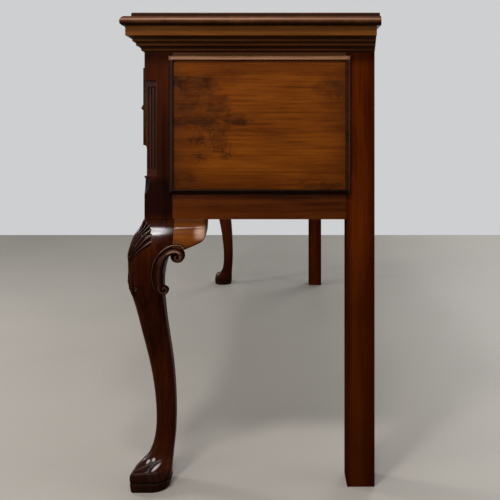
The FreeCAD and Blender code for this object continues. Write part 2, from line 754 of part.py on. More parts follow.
def drawer_front(x):
    """Lipped front: its body fills the opening and its moulded lip laps the case."""
    half = OPENING_WIDE / 2 - DRAWER_GAP
    z0 = APRON_TOP + DRAWER_SEAT
    z1 = HEAD_LOW - DRAWER_GAP
    body = box(x - half, x + half, FRONT - LIP_GAP, FRONT + FRONT_BODY, z0, z1)
    lap = LIP_LAP + DRAWER_GAP
    near = FRONT - LIP_GAP
    face = FRONT - LIP_OUT
    step = LIP_ROUND + LIP_STEP

    def lip(low, high):
        """Outline of the lip across the drawer, as Y and the other way."""
        bow = -LIP_ROUND * QUARTER_BOW
        return [(near, low), (face + step, low), (face + LIP_STEP, low + LIP_ROUND, bow),
                (face, low + LIP_ROUND), (face, high - LIP_ROUND), (face + LIP_STEP, high - LIP_ROUND),
                (face + step, high, bow), (near, high)]

    low = APRON_TOP - LIP_LAP
    high = HEAD_LOW + LIP_LAP
    upright = along_x(lip(low, high), x - half - lap, x + half + lap)
    level = along_z([(s[1], s[0]) + tuple(-b for b in s[2:]) for s in lip(x - half - lap, x + half + lap)],
                    low, high)
    return body.fuse(upright.common(level))


def tails(x, side, y0, y1, z0, z1, clear):
    """Dovetails of one drawer side, from its shoulder y0 to their tips y1."""
    x0 = x + side * (OPENING_WIDE / 2 - DRAWER_GAP)
    x1 = x0 - side * SIDE_THICK
    pitch = (z1 - z0) / DOVETAILS
    way = 1 if y1 > y0 else -1
    shapes = []
    for i in range(DOVETAILS):
        middle = z0 + pitch * (i + 0.5)
        narrow = pitch * DOVETAIL_NARROW / 2 + clear
        broad = narrow + DOVETAIL_SLOPE
        steps = [(y0, middle - narrow), (y1 + way * clear, middle - broad),
                 (y1 + way * clear, middle + broad), (y0, middle + narrow)]
        shapes.append(along_x(steps, x0, x1 - side * clear))
    return shapes


def drawer_side_span():
    """Lowest and highest points of the drawer's sides."""
    return APRON_TOP + DRAWER_SEAT, HEAD_LOW - DRAWER_GAP


def bottom_groove(x, clear):
    half = OPENING_WIDE / 2 - DRAWER_GAP - SIDE_THICK + BOTTOM_GROOVE + clear
    z0 = APRON_TOP + BOTTOM_UP - clear
    front = FRONT + FRONT_BODY - BOTTOM_GROOVE - clear
    return box(x - half, x + half, front, FRONT + DRAWER_LONG, z0, z0 + BOTTOM_THICK + 2 * clear)


def handle_middles(x):
    return [x - HANDLE_SPREAD / 2, x + HANDLE_SPREAD / 2]


def handle_height():
    return (APRON_TOP + HEAD_LOW) / 2


def post_places(x):
    """Where each handle post's axis meets the face of the drawer."""
    face = FRONT - LIP_OUT
    return [V(middle + side * POST_SPREAD / 2, face, handle_height())
            for middle in handle_middles(x) for side in (-1, 1)]


def drawer(name, x):
    z0, z1 = drawer_side_span()
    rear = FRONT + DRAWER_LONG
    front_shoulder = FRONT + FRONT_BODY
    rear_shoulder = rear - REAR_THICK
    groove = bottom_groove(x, FIT)
    front = drawer_front(x).cut(groove)
    back = box(x - OPENING_WIDE / 2 + DRAWER_GAP, x + OPENING_WIDE / 2 - DRAWER_GAP,
               rear_shoulder, rear, APRON_TOP + BOTTOM_UP + BOTTOM_THICK, z1)
    for side, label in ((-1, "left"), (1, "right")):
        x0 = x + side * (OPENING_WIDE / 2 - DRAWER_GAP)
        x1 = x0 - side * SIDE_THICK
        board = box(min(x0, x1), max(x0, x1), front_shoulder, rear_shoulder, z0, z1)
        back_low = APRON_TOP + BOTTOM_UP + BOTTOM_THICK
        front_tails = tails(x, side, front_shoulder, front_shoulder - DOVETAIL_LONG, z0, z1, 0)
        rear_tails = tails(x, side, rear_shoulder, rear, back_low, z1, 0)
        save("drawer_%s_side_%s" % (name, label), board.fuse(front_tails + rear_tails).cut(groove))
        front = front.cut(tails(x, side, front_shoulder, front_shoulder - DOVETAIL_LONG, z0, z1, FIT))
        back = back.cut(tails(x, side, rear_shoulder, rear, back_low, z1, FIT))
    for place in post_places(x):
        front = front.cut(rod(BOLT_RADIUS, place, place + V(0, LIP_OUT + FRONT_BODY, 0)))
    save("drawer_%s_front" % name, front)
    save("drawer_%s_back" % name, back)
    save("drawer_%s_bottom" % name, bottom_groove(x, 0))


def rose(place):
    """Domed round plate behind a handle post."""
    steps = [(0, 0), (ROSE_RADIUS, 0)] + ROSE_FACE + [(0, ROSE_THICK)]
    disc = flat(lambda r, out: place + V(r, -out, 0), steps).revolve(place, V(0, 1, 0), 360)
    return disc.cut(rod(BOLT_RADIUS, place, place - V(0, ROSE_THICK, 0)))


def post(place):
    """Pommel with its neck, the bolt through the drawer front and the bail's bore."""
    ball = Part.makeSphere(BALL_RADIUS, place - V(0, BALL_OUT, 0))
    neck = rod(NECK_RADIUS, place - V(0, ROSE_THICK, 0), place - V(0, BALL_OUT, 0))
    bolt_end = LIP_OUT + FRONT_BODY + NUT_THICK + BOLT_SPARE
    bolt = rod(BOLT_RADIUS, place + V(0, bolt_end, 0), place - V(0, BALL_OUT, 0))
    bore_middle = place - V(0, PIVOT_OUT, 0)
    reach = V(NECK_RADIUS * 2, 0, 0)
    bore = rod(PIN_RADIUS + PIN_CLEAR, bore_middle - reach, bore_middle + reach)
    return ball.fuse([neck, bolt]).cut(bore)


def nut(place):
    """Six-sided nut inside the drawer."""
    seat = place + V(0, LIP_OUT + FRONT_BODY, 0)
    corners = []
    for i in range(7):
        angle = math.radians(60 * i)
        corners.append(seat + V(NUT_RADIUS * math.cos(angle), 0, NUT_RADIUS * math.sin(angle)))
    blank = Part.Face(Part.makePolygon(corners)).extrude(V(0, NUT_THICK, 0))
    return blank.cut(rod(BOLT_RADIUS, seat, seat + V(0, NUT_THICK, 0)))


def bail(middle):
    """Swan-neck bail: a pin in each post, an arm down and a low double curve."""
    y = FRONT - LIP_OUT - PIVOT_OUT
    z = handle_height()
    arm = POST_SPREAD / 2 + BAIL_ELBOW

    def at(x, below):
        return V(middle + x, y, z - below)
    centre = arm - BAIL_BEND
    turn = math.radians(BAIL_TURN)
    half_turn = turn / 2
    end_x = centre + BAIL_BEND * math.cos(turn)
    end_z = BAIL_DROP + BAIL_BEND * math.sin(turn)
    bow_radius = end_x / math.sin(turn - math.pi / 2)
    rise = bow_radius * (1 - math.cos(turn - math.pi / 2))
    edges = []
    for side in (-1, 1):
        start = at(side * arm, -PIN_RADIUS)
        bend = at(side * arm, BAIL_DROP)
        via = at(side * (centre + BAIL_BEND * math.cos(half_turn)),
                 BAIL_DROP + BAIL_BEND * math.sin(half_turn))
        end = at(side * end_x, end_z)
        edges.append(Part.makeLine(start, bend))
        edges.append(Part.Arc(bend, via, end).toShape())
    bow = Part.Arc(at(-end_x, end_z), at(0, end_z - rise), at(end_x, end_z)).toShape()
    path = Part.Wire([edges[0], edges[1], bow, edges[3], edges[2]])
    ring = Part.Wire(Part.makeCircle(BAIL_RADIUS, at(-arm, -PIN_RADIUS), V(0, 0, -1)))
    shape = path.makePipeShell([ring], True, True)
    for side in (-1, 1):
        inner = POST_SPREAD / 2 - NECK_RADIUS
        shape = shape.fuse(rod(PIN_RADIUS, at(side * inner, 0), at(side * arm, 0)))
        shape = shape.fuse(Part.makeSphere(BAIL_KNUCKLE, at(side * arm, 0)))
    return shape


def handles(name, x):
    places = post_places(x)
    save("drawer_%s_roses" % name, Part.makeCompound([rose(p) for p in places]))
    bolted = [post(p) for p in places] + [nut(p) for p in places]
    save("drawer_%s_posts" % name, Part.makeCompound(bolted))
    for middle, label in zip(handle_middles(x), ("left", "right")):
        save("drawer_%s_bail_%s" % (name, label), bail(middle))


def names(count):
    """Plain names from left to right."""
    if count == 3:
        return ["left", "middle", "right"]
    if count == 2:
        return ["left", "right"]
    return [str(i + 1) for i in range(count)]


save("top_board", top_board())
cornices()
save_pair("front_leg", knee_leg())
save_pair("rear_leg", rear_leg())
side_block = knee_block()
save_pair("knee_block_side", side_block.translated(CORNER))
save_pair("knee_block_front", to_front(side_block).translated(CORNER))
save_pair("side_panel", side_panel())
save_pair("panel_moulding", panel_moulding())
save_pair("side_head_rail", side_rail(SIDE_HIGH, CASE_TOP))
save_pair("side_foot_rail", side_rail(LEG_HEIGHT, SIDE_LOW))
save("front_head_rail", front_head_rail())
save("front_apron", apron())
for label, place_x in zip(names(DRAWER_COUNT - 1), divider_middles()):
    save("drawer_divider_%s" % label, divider(place_x))
save("back_head_rail", back_rail(HEAD_LOW, CASE_TOP))
save("back_foot_rail", back_rail(LEG_HEIGHT, APRON_TOP))
save("back_board", back_board())
save("drawer_runners", drawer_runners())
save("drawer_kickers", drawer_kickers())
save("drawer_guides", drawer_guides())
save("top_buttons", buttons())
save("top_screws", Part.makeCompound([screw(place, way) for place, way in button_places()]))
for label, place_x in zip(names(DRAWER_COUNT), drawer_middles()):
    drawer(label, place_x)
    handles(label, place_x)
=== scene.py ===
import math

import bmesh
import bpy
import numpy as np
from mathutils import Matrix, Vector


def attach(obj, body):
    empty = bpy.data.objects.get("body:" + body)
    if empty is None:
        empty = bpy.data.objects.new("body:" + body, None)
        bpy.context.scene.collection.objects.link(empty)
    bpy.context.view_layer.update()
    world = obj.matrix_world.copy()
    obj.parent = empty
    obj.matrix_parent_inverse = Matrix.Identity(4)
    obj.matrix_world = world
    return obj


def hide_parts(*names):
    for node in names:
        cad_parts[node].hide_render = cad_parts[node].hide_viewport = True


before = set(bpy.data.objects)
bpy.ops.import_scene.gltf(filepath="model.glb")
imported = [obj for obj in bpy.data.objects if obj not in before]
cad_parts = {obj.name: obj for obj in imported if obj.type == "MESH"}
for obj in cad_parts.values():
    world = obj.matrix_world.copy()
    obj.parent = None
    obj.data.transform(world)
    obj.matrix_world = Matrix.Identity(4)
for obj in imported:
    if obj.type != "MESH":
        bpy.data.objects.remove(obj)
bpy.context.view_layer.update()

# Dresser base. Shapes are given in millimetres in the part's own frame,
# and meshes are turned into metres as they are made.
MM = 0.001
HALF = 725.0  # from the middle of the piece to the legs' end faces
FRONT = -178.25  # the legs' front faces
PAD_TOP = 30.4  # where the toes rise from the pad of the foot
KNEE_TOP = 446.0  # where the knee meets the square post
CASE_TOP = 765.0
LEG_SQUARE = 46.0

# Post above the knee
CANT = 21.0
CANT_LOW = 518.0
CANT_HIGH = 678.0
FLUTE_PITCH = 8.6
FLUTE_RADIUS = 3.1
FLUTE_DEEP = 2.6
FLUTE_LOW = 530.5
FLUTE_HIGH = 665.5
STOP_HIGH = 515.0
STOP_LOW = 489.0
STOP_SPREAD = 9.5
POST_ARRIS = 0.7

# Cabriole leg: height, reach outward, reach inward, then the radii of the outer corner,
# of the corners beside it and of the inmost corner
LEG_SECTIONS = np.array([
    (KNEE_TOP, 1.6, 49.6, 2.0, 0.5, 2.0),
    (434.4, 4.8, 49.6, 5.0, 0.5, 3.0),
    (422.8, 13.2, 49.6, 9.0, 0.5, 6.0),
    (409.4, 19.2, 48.6, 13.0, 0.8, 12.0),
    (392.0, 23.9, 42.5, 16.0, 4.0, 20.0),
    (368.0, 25.2, 35.6, 18.0, 4.0, 26.0),
    (339.9, 23.6, 33.3, 18.0, 4.0, 27.0),
    (306.0, 15.6, 34.9, 16.0, 5.0, 27.0),
    (263.1, 6.2, 39.2, 14.0, 6.0, 26.0),
    (206.1, -5.4, 45.0, 13.0, 8.0, 18.0),
    (149.9, -13.2, 48.2, 12.5, 9.5, 13.0),
    (107.9, -15.4, 48.8, 12.5, 10.5, 12.0),
    (70.0, -12.3, 47.2, 12.0, 12.0, 13.0),
    (59.0, -9.2, 46.2, 11.5, 13.5, 14.0),
    (50.0, -4.9, 45.4, 10.5, 15.5, 16.0),
    (44.6, -0.6, 45.1, 9.0, 17.5, 17.5),
    (38.0, 8.4, 44.8, 6.0, 21.5, 21.5),
    (34.0, 13.6, 44.6, 5.0, 24.5, 24.5),
    (PAD_TOP, 17.6, 44.4, 4.0, 26.5, 26.5),
])
# Rings up the leg: from, to and how many, closest where it is carved
LEG_RINGS = ((PAD_TOP, 56, 60), (57, 78, 18), (80, 310, 66), (311, 372, 78), (372.8, 445.4, 130))
FOOT_ROWS = [  # height, reach outward, reach inward, corner radius, other radii
    (0.0, 18.2, 41.0, 4.0, 26.5),
    (0.9, 19.0, 41.8, 4.0, 27.0),
    (4.0, 19.5, 42.4, 4.0, 27.5),
    (9.0, 20.1, 43.4, 4.0, 28.0),
    (13.4, 20.6, 44.6, 4.0, 28.0),
    (14.4, 20.0, 44.2, 4.0, 28.0),
    (14.9, 18.4, 41.8, 4.0, 27.5),
    (16.0, 18.4, 41.8, 4.0, 27.5),
    (16.4, 20.0, 43.2, 4.0, 28.0),
    (17.4, 20.7, 43.8, 4.0, 28.0),
    (22.0, 20.9, 44.2, 4.2, 28.0),
    (26.5, 20.7, 44.4, 4.4, 27.5),
    (28.8, 19.9, 44.4, 4.6, 27.0),
    (29.9, 18.7, 44.4, 4.6, 26.7),
]
FOOT_GROOVE = (14.7, 16.7)
TOE_HEIGHT = 34.5
# How much each face of the foot falls back from the toe, by height
TOE_POINT = ((0, 18, 23, 29, 36, 43, 54), (0.0, 0.01, 0.05, 0.13, 0.17, 0.11, 0.0))
# The toe's point and the knee's bow fade out this far in from the post's faces
FACE_FADE = 12.0
# Bow of the knee's faces: where it starts in from the corner, how wide its round part is, how fast it falls
BOW_START = 14.0
BOW_ROUND = 36.0
BOW_RATE = 0.0001
BOW_HEIGHTS = (330, 400)  # none below the first, all of it above the second
# Points round a ring of the leg: on each shown face, round the corner and on each plain run;
# across the canted corner of the post; and round the block behind a curl
SIDE_SAMPLES = 76
CORNER_SAMPLES = 44
PLAIN_SAMPLES = 9
CANT_SAMPLES = 141
ROUND_SAMPLES = 44

# Knee carving: how far round from the leg's corner each rib of the shell ends, and its height there
SHELL_ROOT = 366.0
SHELL_TIPS = [
    (0.0, 443.0), (6.6, 441.0), (12.0, 437.0), (19.0, 430.0), (26.0, 422.5), (31.2, 413.0), (34.6, 402.0)]
HUSK_TOP = 365.0
HUSK_LONG = 47.0
HUSK_CURL = (8.6, 335.0, 2.7)  # along the surface, height, radius

# Scroll on the knee. Places are distance in from the leg's corner, and height
BAND_PATH = [  # middle of the band, its half width and how far it stands up
    (31.0, 336.0, 3.0, 1.6), (28.4, 343.0, 5.2, 2.0), (27.0, 352.0, 7.0, 2.4), (26.8, 361.0, 7.6, 2.6),
    (28.0, 370.0, 7.6, 2.8), (30.8, 379.0, 6.8, 3.2), (35.0, 386.6, 6.0, 3.8), (40.6, 392.2, 5.5, 4.4),
    (46.8, 395.4, 5.3, 4.9), (53.4, 396.4, 5.2, 5.2), (59.4, 395.0, 5.2, 5.2), (63.2, 390.6, 5.2, 5.0),
    (63.4, 385.0, 5.0, 4.8), (60.0, 381.8, 4.2, 4.4), (56.2, 382.6, 3.4, 4.2), (54.8, 385.6, 2.8, 4.4),
    (55.8, 388.2, 2.4, 4.9), (57.2, 387.6, 2.2, 5.1)]
BEAD_PATH = [
    (27.6, 328.6), (23.4, 332.0), (20.6, 337.6), (18.6, 345.0), (17.4, 353.5), (17.2, 362.0), (18.3, 370.5),
    (20.6, 378.6), (24.2, 386.2), (29.0, 393.0), (34.8, 398.6), (41.4, 402.8), (48.4, 405.3), (55.4, 406.2),
    (61.6, 405.3), (66.4, 402.6), (68.4, 399.6)]
TAIL_PATH = [  # lower curl: in from the corner, height, half width
    (28.2, 341.0, 3.2), (28.2, 335.4, 3.2), (30.6, 330.2, 3.1), (35.2, 328.0, 3.0), (39.4, 329.6, 2.9),
    (41.2, 333.2, 2.8), (39.6, 336.6, 2.6), (36.6, 337.4, 2.3), (34.6, 335.6, 2.0), (35.4, 333.6, 1.9)]
VOLUTE_BACK = (57.2, 388.2, 10.9)  # round behind the volute: its centre and radius
TAIL_BACK = (35.2, 333.8, 7.0)
VOLUTE_SEAT = (57.0, 392.0)  # places on the knee's face that carry the two rounds
TAIL_SEAT = 334.0
SCROLL_DEEP = 13.0
BEAD_DEEP = 9.0
TAIL_DEEP = 8.0
BACK_SINK = 0.4  # how far the rounds lie under that face

# Knee block
BLOCK_START = 50.0
BLOCK_ROUND = 9.0
BLOCK_TOP = 445.7
BLOCK_BACK = -22.0
BLOCK_ARRIS = 431.0
BLOCK_SWELL = (92.0, 417.0)  # in from the corner and height
BLOCK_EDGE = [  # in from the corner and height along its lower edge
    (BLOCK_START, 400.0), (60.0, 396.8), (69.5, 398.2), (80.5, 402.4), (91.5, 407.2), (98.5, 411.6),
    (102.6, 418.4), (103.8, 427.0), (104.4, 437.0), (104.6, 444.6)]


# Mesh helpers

WELD = 0.01  # points closer than this are joined
FLAT_TURN = 0.4  # degrees: faces that turn less are joined
ARRIS_TURN = 38  # edges that turn more are softened
BOARD_SMOOTH = 48  # edges that turn less are shaded smooth


def spline(table, at):
    """Natural cubic through rows of (place, values...), read at the given places."""
    rows = np.array(sorted(map(tuple, table)), float)
    x, y = rows[:, 0], rows[:, 1:]
    n = len(x)
    step = np.diff(x)
    system = np.eye(n)
    right = np.zeros_like(y)
    for i in range(1, n - 1):
        system[i, i - 1:i + 2] = step[i - 1], 2 * (step[i - 1] + step[i]), step[i]
        right[i] = 6 * ((y[i + 1] - y[i]) / step[i] - (y[i] - y[i - 1]) / step[i - 1])
    bend = np.linalg.solve(system, right)
    at = np.asarray(at, float)
    i = np.clip(np.searchsorted(x, at) - 1, 0, n - 2)
    h, a, b = step[i][:, None], (x[i + 1] - at)[:, None], (at - x[i])[:, None]
    return (bend[i] * a ** 3 + bend[i + 1] * b ** 3) / (6 * h) \
        + (y[i] / h - bend[i] * h / 6) * a + (y[i + 1] / h - bend[i + 1] * h / 6) * b


def smoothstep(value, start, end):
    t = np.clip((value - start) / (end - start), 0, 1)
    return t * t * (3 - 2 * t)


def bell(*far):
    """1 in the middle, falling off smoothly with the distances from it."""
    return np.exp(-sum(d ** 2 for d in far))


def level(ring, z):
    """The points of a flat ring, at a height."""
    return np.column_stack([ring, np.full(len(ring), z)])


def grid_shell(rings, hollow=None):
    """Closed skin over rings of points, with a cap on each end ring."""
    points = np.array(rings)
    rows, around = points.shape[:2]
    index = np.arange(rows * around).reshape(rows, around)
    beside = np.roll(index, -1, axis=1)
    quads = np.stack([index[:-1], beside[:-1], beside[1:], index[1:]], axis=-1).reshape(-1, 4)
    faces = [tuple(face) for face in quads.tolist() + [index[0][::-1].tolist(), index[-1].tolist()]]
    marks = np.zeros(rows * around) if hollow is None else np.array(hollow).reshape(-1)
    return points.reshape(-1, 3), faces, marks


def placed(shells, turned, left):
    """Shells made about the right leg's corner, set on the front or the side of either leg."""
    result = []
    for points, faces, marks in shells:
        points = points.copy()
        if turned:
            points[:, :2] = -points[:, 1::-1]
        points[:, 0] += HALF
        points[:, 1] += FRONT
        if left:
            points[:, 0] *= -1
        result.append((points, faces, marks))
    return result


def turn_at(edge):
    """Angle in degrees between an edge's two faces, 180 where it hasn't just two."""
    return math.degrees(edge.calc_face_angle(0.0)) if len(edge.link_faces) == 2 else 180.0


def shade_and_store(work, mesh, smooth_turn):
    """Smooth shading except where the surface turns more than smooth_turn degrees."""
    for face in work.faces:
        face.smooth = True
    for edge in work.edges:
        edge.smooth = turn_at(edge) < smooth_turn
    work.to_mesh(mesh)
    work.free()


def new_object(name, data):
    obj = bpy.data.objects.new(name, data)
    bpy.context.scene.collection.objects.link(obj)
    return obj


def build(name, shells, material, smooth_turn):
    """One mesh object from several closed shells, shaded smooth except at sharp turns."""
    mesh = bpy.data.meshes.new(name)
    verts = np.concatenate([s[0] for s in shells]) * MM
    faces = []
    start = 0
    for points, shell_faces, _ in shells:
        faces += [tuple(i + start for i in face) for face in shell_faces]
        start += len(points)
    mesh.from_pydata(verts.tolist(), [], faces)
    marks = mesh.attributes.new("hollow", "FLOAT", "POINT")
    marks.data.foreach_set("value", np.concatenate([s[2] for s in shells]).astype(np.float32))
    obj = new_object(name, mesh)
    work = bmesh.new()
    work.from_mesh(mesh)
    bmesh.ops.recalc_face_normals(work, faces=work.faces)
    shade_and_store(work, mesh, smooth_turn)
    mesh.materials.append(material)
    return obj


def worn_copy(node, material, body, width):
    """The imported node's own shape with softened arrises, shown in the node's place."""
    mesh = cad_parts[node].data.copy()
    obj = new_object(node + "_wood", mesh)
    mesh.materials.clear()
    mesh.materials.append(material)
    work = bmesh.new()
    work.from_mesh(mesh)
    bmesh.ops.remove_doubles(work, verts=work.verts, dist=WELD * MM)
    bmesh.ops.dissolve_limit(work, angle_limit=math.radians(FLAT_TURN), verts=work.verts, edges=work.edges)
    arrises = [edge for edge in work.edges if len(edge.link_faces) == 2 and turn_at(edge) > ARRIS_TURN]
    bmesh.ops.bevel(work, geom=arrises, offset=width * MM, offset_type="OFFSET", segments=2, profile=0.6,
                    affect="EDGES", clamp_overlap=True)
    shade_and_store(work, mesh, BOARD_SMOOTH)
    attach(obj, body)
    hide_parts(node)


# Shader groups

# The mix node's sockets for its factor and its two colours, and the one that gives the mixed colour
MIX_INPUTS = (0, 6, 7)
MIX_RESULT = 2
# What the groups hold until a material gives its own colours
PLAIN_PALE = (0.4, 0.2, 0.1, 1)
PLAIN_DARK = (0.1, 0.04, 0.02, 1)


def rgb(red, green, blue):
    """Screen colour 0-255 as the linear colour that a shader takes."""
    channels = [c / 255 for c in (red, green, blue)]
    return tuple(c / 12.92 if c < 0.04045 else ((c + 0.055) / 1.055) ** 2.4 for c in channels) + (1.0,)


class Nodes:
    """Short calls for placing and joining shader nodes in one tree."""

    def __init__(self, tree):
        self.tree = tree

    def add(self, kind, **settings):
        node = self.tree.nodes.new("ShaderNode" + kind)
        for key, value in settings.items():
            setattr(node, key, value)
        return node

    def put(self, socket, value):
        if isinstance(value, bpy.types.NodeSocket):
            self.tree.links.new(value, socket)
        elif value is not None:
            socket.default_value = value

    def fill(self, node, values):
        for socket, value in zip(node.inputs, values):
            self.put(socket, value)
        return node.outputs[0]

    def maths(self, operation, *values, clamp=False):
        return self.fill(self.add("Math", operation=operation, use_clamp=clamp), values)

    def plus(self, first, second, clamp=False):
        return self.maths("ADD", first, second, clamp=clamp)

    def minus(self, first, second):
        return self.maths("SUBTRACT", first, second)

    def times(self, first, second, clamp=False):
        return self.maths("MULTIPLY", first, second, clamp=clamp)

    def larger(self, first, *others):
        for value in others:
            first = self.maths("MAXIMUM", first, value)
        return first

    def distance(self, value, middle):
        return self.maths("ABSOLUTE", self.minus(value, middle))

    def vector(self, operation, *values):
        return self.fill(self.add("VectorMath", operation=operation), values)

    def split(self, vector):
        node = self.add("SeparateXYZ")
        self.put(node.inputs[0], vector)
        return node.outputs

    def noise(self, vector, scale, detail=3.0, roughness=0.55, distortion=0.0):
        node = self.add("TexNoise")
        self.put(node.inputs["Vector"], vector)
        node.inputs["Scale"].default_value = scale
        node.inputs["Detail"].default_value = detail
        node.inputs["Roughness"].default_value = roughness
        node.inputs["Distortion"].default_value = distortion
        return node.outputs["Fac"]

    def streaks(self, vector, scales, *settings):
        """Noise with its own scale along each axis."""
        return self.noise(self.vector("MULTIPLY", vector, scales), 1.0, *settings)

    def uneven(self, value, vector, scale, detail, amount):
        """The value shifted a little by noise."""
        return self.plus(value, self.times(self.noise(vector, scale, detail), amount))

    def mix(self, factor, first, second):
        node = self.add("Mix", data_type="RGBA")
        for index, value in zip(MIX_INPUTS, (factor, first, second)):
            self.put(node.inputs[index], value)
        return node.outputs[MIX_RESULT]

    def span(self, value, low, high, out_low=0.0, out_high=1.0, soft=False):
        node = self.add("MapRange", interpolation_type="SMOOTHSTEP" if soft else "LINEAR")
        return self.fill(node, (value, low, high, out_low, out_high))

    def band(self, value, middle, half, soft):
        """1 within half of the middle, falling to 0 over the soft width."""
        return self.span(self.distance(value, middle), half + soft, half)

    def bump(self, height, strength, distance):
        node = self.add("Bump")
        node.inputs["Strength"].default_value = strength
        node.inputs["Distance"].default_value = distance
        self.put(node.inputs["Height"], height)
        return node.outputs[0]


def new_group(name, inputs, outputs):
    """Node group with its helper, the sockets of what comes in and the sockets of what goes out."""
    group = bpy.data.node_groups.new(name, "ShaderNodeTree")
    for label, kind, value in inputs:
        socket = group.interface.new_socket(name=label, in_out="INPUT", socket_type="NodeSocket" + kind)
        if value is not None:
            socket.default_value = value
    for label, kind in outputs:
        group.interface.new_socket(name=label, in_out="OUTPUT", socket_type="NodeSocket" + kind)
    given = group.nodes.new("NodeGroupInput").outputs
    result = group.nodes.new("NodeGroupOutput").inputs
    return group, Nodes(group), given, result


def wood_figure_group():
    """Long grain along the X of its coordinates: streaks, ribbon figure, pores and clouds."""
    group, n, given, result = new_group("wood_figure", [
        ("Coordinates", "Vector", None), ("Pale", "Color", PLAIN_PALE), ("Dark", "Color", PLAIN_DARK),
        ("Ribbon", "Float", 0.5), ("Pores", "Float", 0.5), ("Cloud", "Float", 0.5)],
        [("Color", "Color"), ("Pore Mask", "Float")])
    place = given["Coordinates"]
    wander = n.streaks(place, (3.0, 9.0, 9.0), 2.0)
    drift = n.add("CombineXYZ")
    n.put(drift.inputs["Y"], n.times(wander, 3.2))
    n.put(drift.inputs["Z"], n.times(wander, 2.4))
    bent = n.vector("ADD", n.vector("MULTIPLY", place, (1.6, 30.0, 30.0)), drift.outputs[0])
    ribbon = n.span(n.noise(bent, 1.0, 4.0, 0.6, 0.35), 0.3, 0.7)
    streak = n.span(n.streaks(place, (6.0, 170.0, 170.0), 4.0, 0.65), 0.3, 0.72)
    pore = n.span(n.streaks(place, (55.0, 1100.0, 1100.0), 2.0, 0.5), 0.60, 0.74)
    cloud = n.span(n.streaks(place, (3.5, 8.0, 8.0), 3.0, 0.55), 0.3, 0.75, -0.5, 0.5)
    figure = n.plus(n.times(ribbon, given["Ribbon"]), n.times(streak, n.minus(1.0, given["Ribbon"])))
    figure = n.plus(figure, n.times(cloud, given["Cloud"]), clamp=True)
    pores = n.times(pore, given["Pores"])
    color = n.mix(figure, given["Dark"], given["Pale"])
    n.put(result["Color"], n.mix(n.times(pores, 0.7), color, (0.006, 0.0015, 0.0006, 1)))
    n.put(result["Pore Mask"], pores)
    return group


def polish_group():
    """Old French polish: faint ripples, rubbed patches and fine scuffs."""
    group, n, given, result = new_group("old_polish", [
        ("Coordinates", "Vector", None), ("Gloss Roughness", "Float", 0.22), ("Scuffs", "Float", 0.4),
        ("Pore Mask", "Float", 0.0)],
        [("Roughness", "Float"), ("Height", "Float")])
    place = given["Coordinates"]
    patches = n.span(n.noise(place, 9.0, 4.0, 0.6), 0.35, 0.7)
    scuff = n.times(n.span(n.streaks(place, (40.0, 260.0, 260.0), 3.0, 0.7), 0.58, 0.75), given["Scuffs"])
    rough = n.plus(given["Gloss Roughness"], n.times(patches, 0.1))
    n.put(result["Roughness"], n.plus(rough, n.times(scuff, 0.25), clamp=True))
    ripple = n.streaks(place, (14.0, 60.0, 60.0), 2.0, 0.5)
    n.put(result["Height"], n.minus(n.times(ripple, 0.6), n.times(given["Pore Mask"], 0.25)))
    return group


def carving_dirt_shade_and_glints_group():
    """Darkens the carving's hollows with dirty polish and painted shade, lightens its rubbed ridges, and
    gives the most raised ridges a painted highlight.
    """
    group, n, given, result = new_group("carving_dirt_shade_and_glints", [
        ("Color", "Color", PLAIN_DARK), ("Coordinates", "Vector", None), ("Strength", "Float", 0.8)],
        [("Color", "Color"), ("Rubbed", "Float"), ("Dirt And Shade", "Float")])
    mark = n.add("Attribute", attribute_name="hollow").outputs["Fac"]
    broken = n.noise(given["Coordinates"], 160.0, 3.0, 0.6)
    # Darker in the hollows: partly dirty polish, partly painted shade where the recesses would be shaded.
    dirt_and_shade = n.times(n.span(n.plus(mark, n.times(n.minus(broken, 0.5), 0.5)), 0.15, 0.85), given["Strength"])
    rubbed = n.span(n.minus(n.times(broken, 0.4), mark), 0.35, 0.9)
    color = n.mix(dirt_and_shade, given["Color"], (0.003, 0.001, 0.0006, 1))
    color = n.mix(n.times(rubbed, 0.16), color, (0.085, 0.036, 0.010, 1))
    # Painted highlight: the most raised ridges turn pale, as if catching the light.
    n.put(result["Color"], n.mix(n.span(mark, -0.8, -1.2, 0.0, 0.75), color, rgb(164, 132, 112)))
    n.put(result["Rubbed"], rubbed)
    n.put(result["Dirt And Shade"], dirt_and_shade)
    return group


WOOD_FIGURE = wood_figure_group()
OLD_POLISH = polish_group()
CARVING_DIRT_SHADE_AND_GLINTS = carving_dirt_shade_and_glints_group()
GRAIN_TURN = {"x": (0, 0, 0), "y": (0, 0, math.radians(-90)), "z": (0, math.radians(90), 0)}


def group_node(n, group, **values):
    node = n.add("Group", node_tree=group)
    for label, value in values.items():
        n.put(node.inputs[label.replace("_", " ")], value)
    return node.outputs


def new_material(name):
    """Node material with its helper, the sockets of its shader and its coordinates."""
    material = bpy.data.materials.new(name)
    material.use_nodes = True
    n = Nodes(material.node_tree)
    shader = material.node_tree.nodes["Principled BSDF"].inputs
    return material, n, shader, n.add("TexCoord").outputs["Object"]


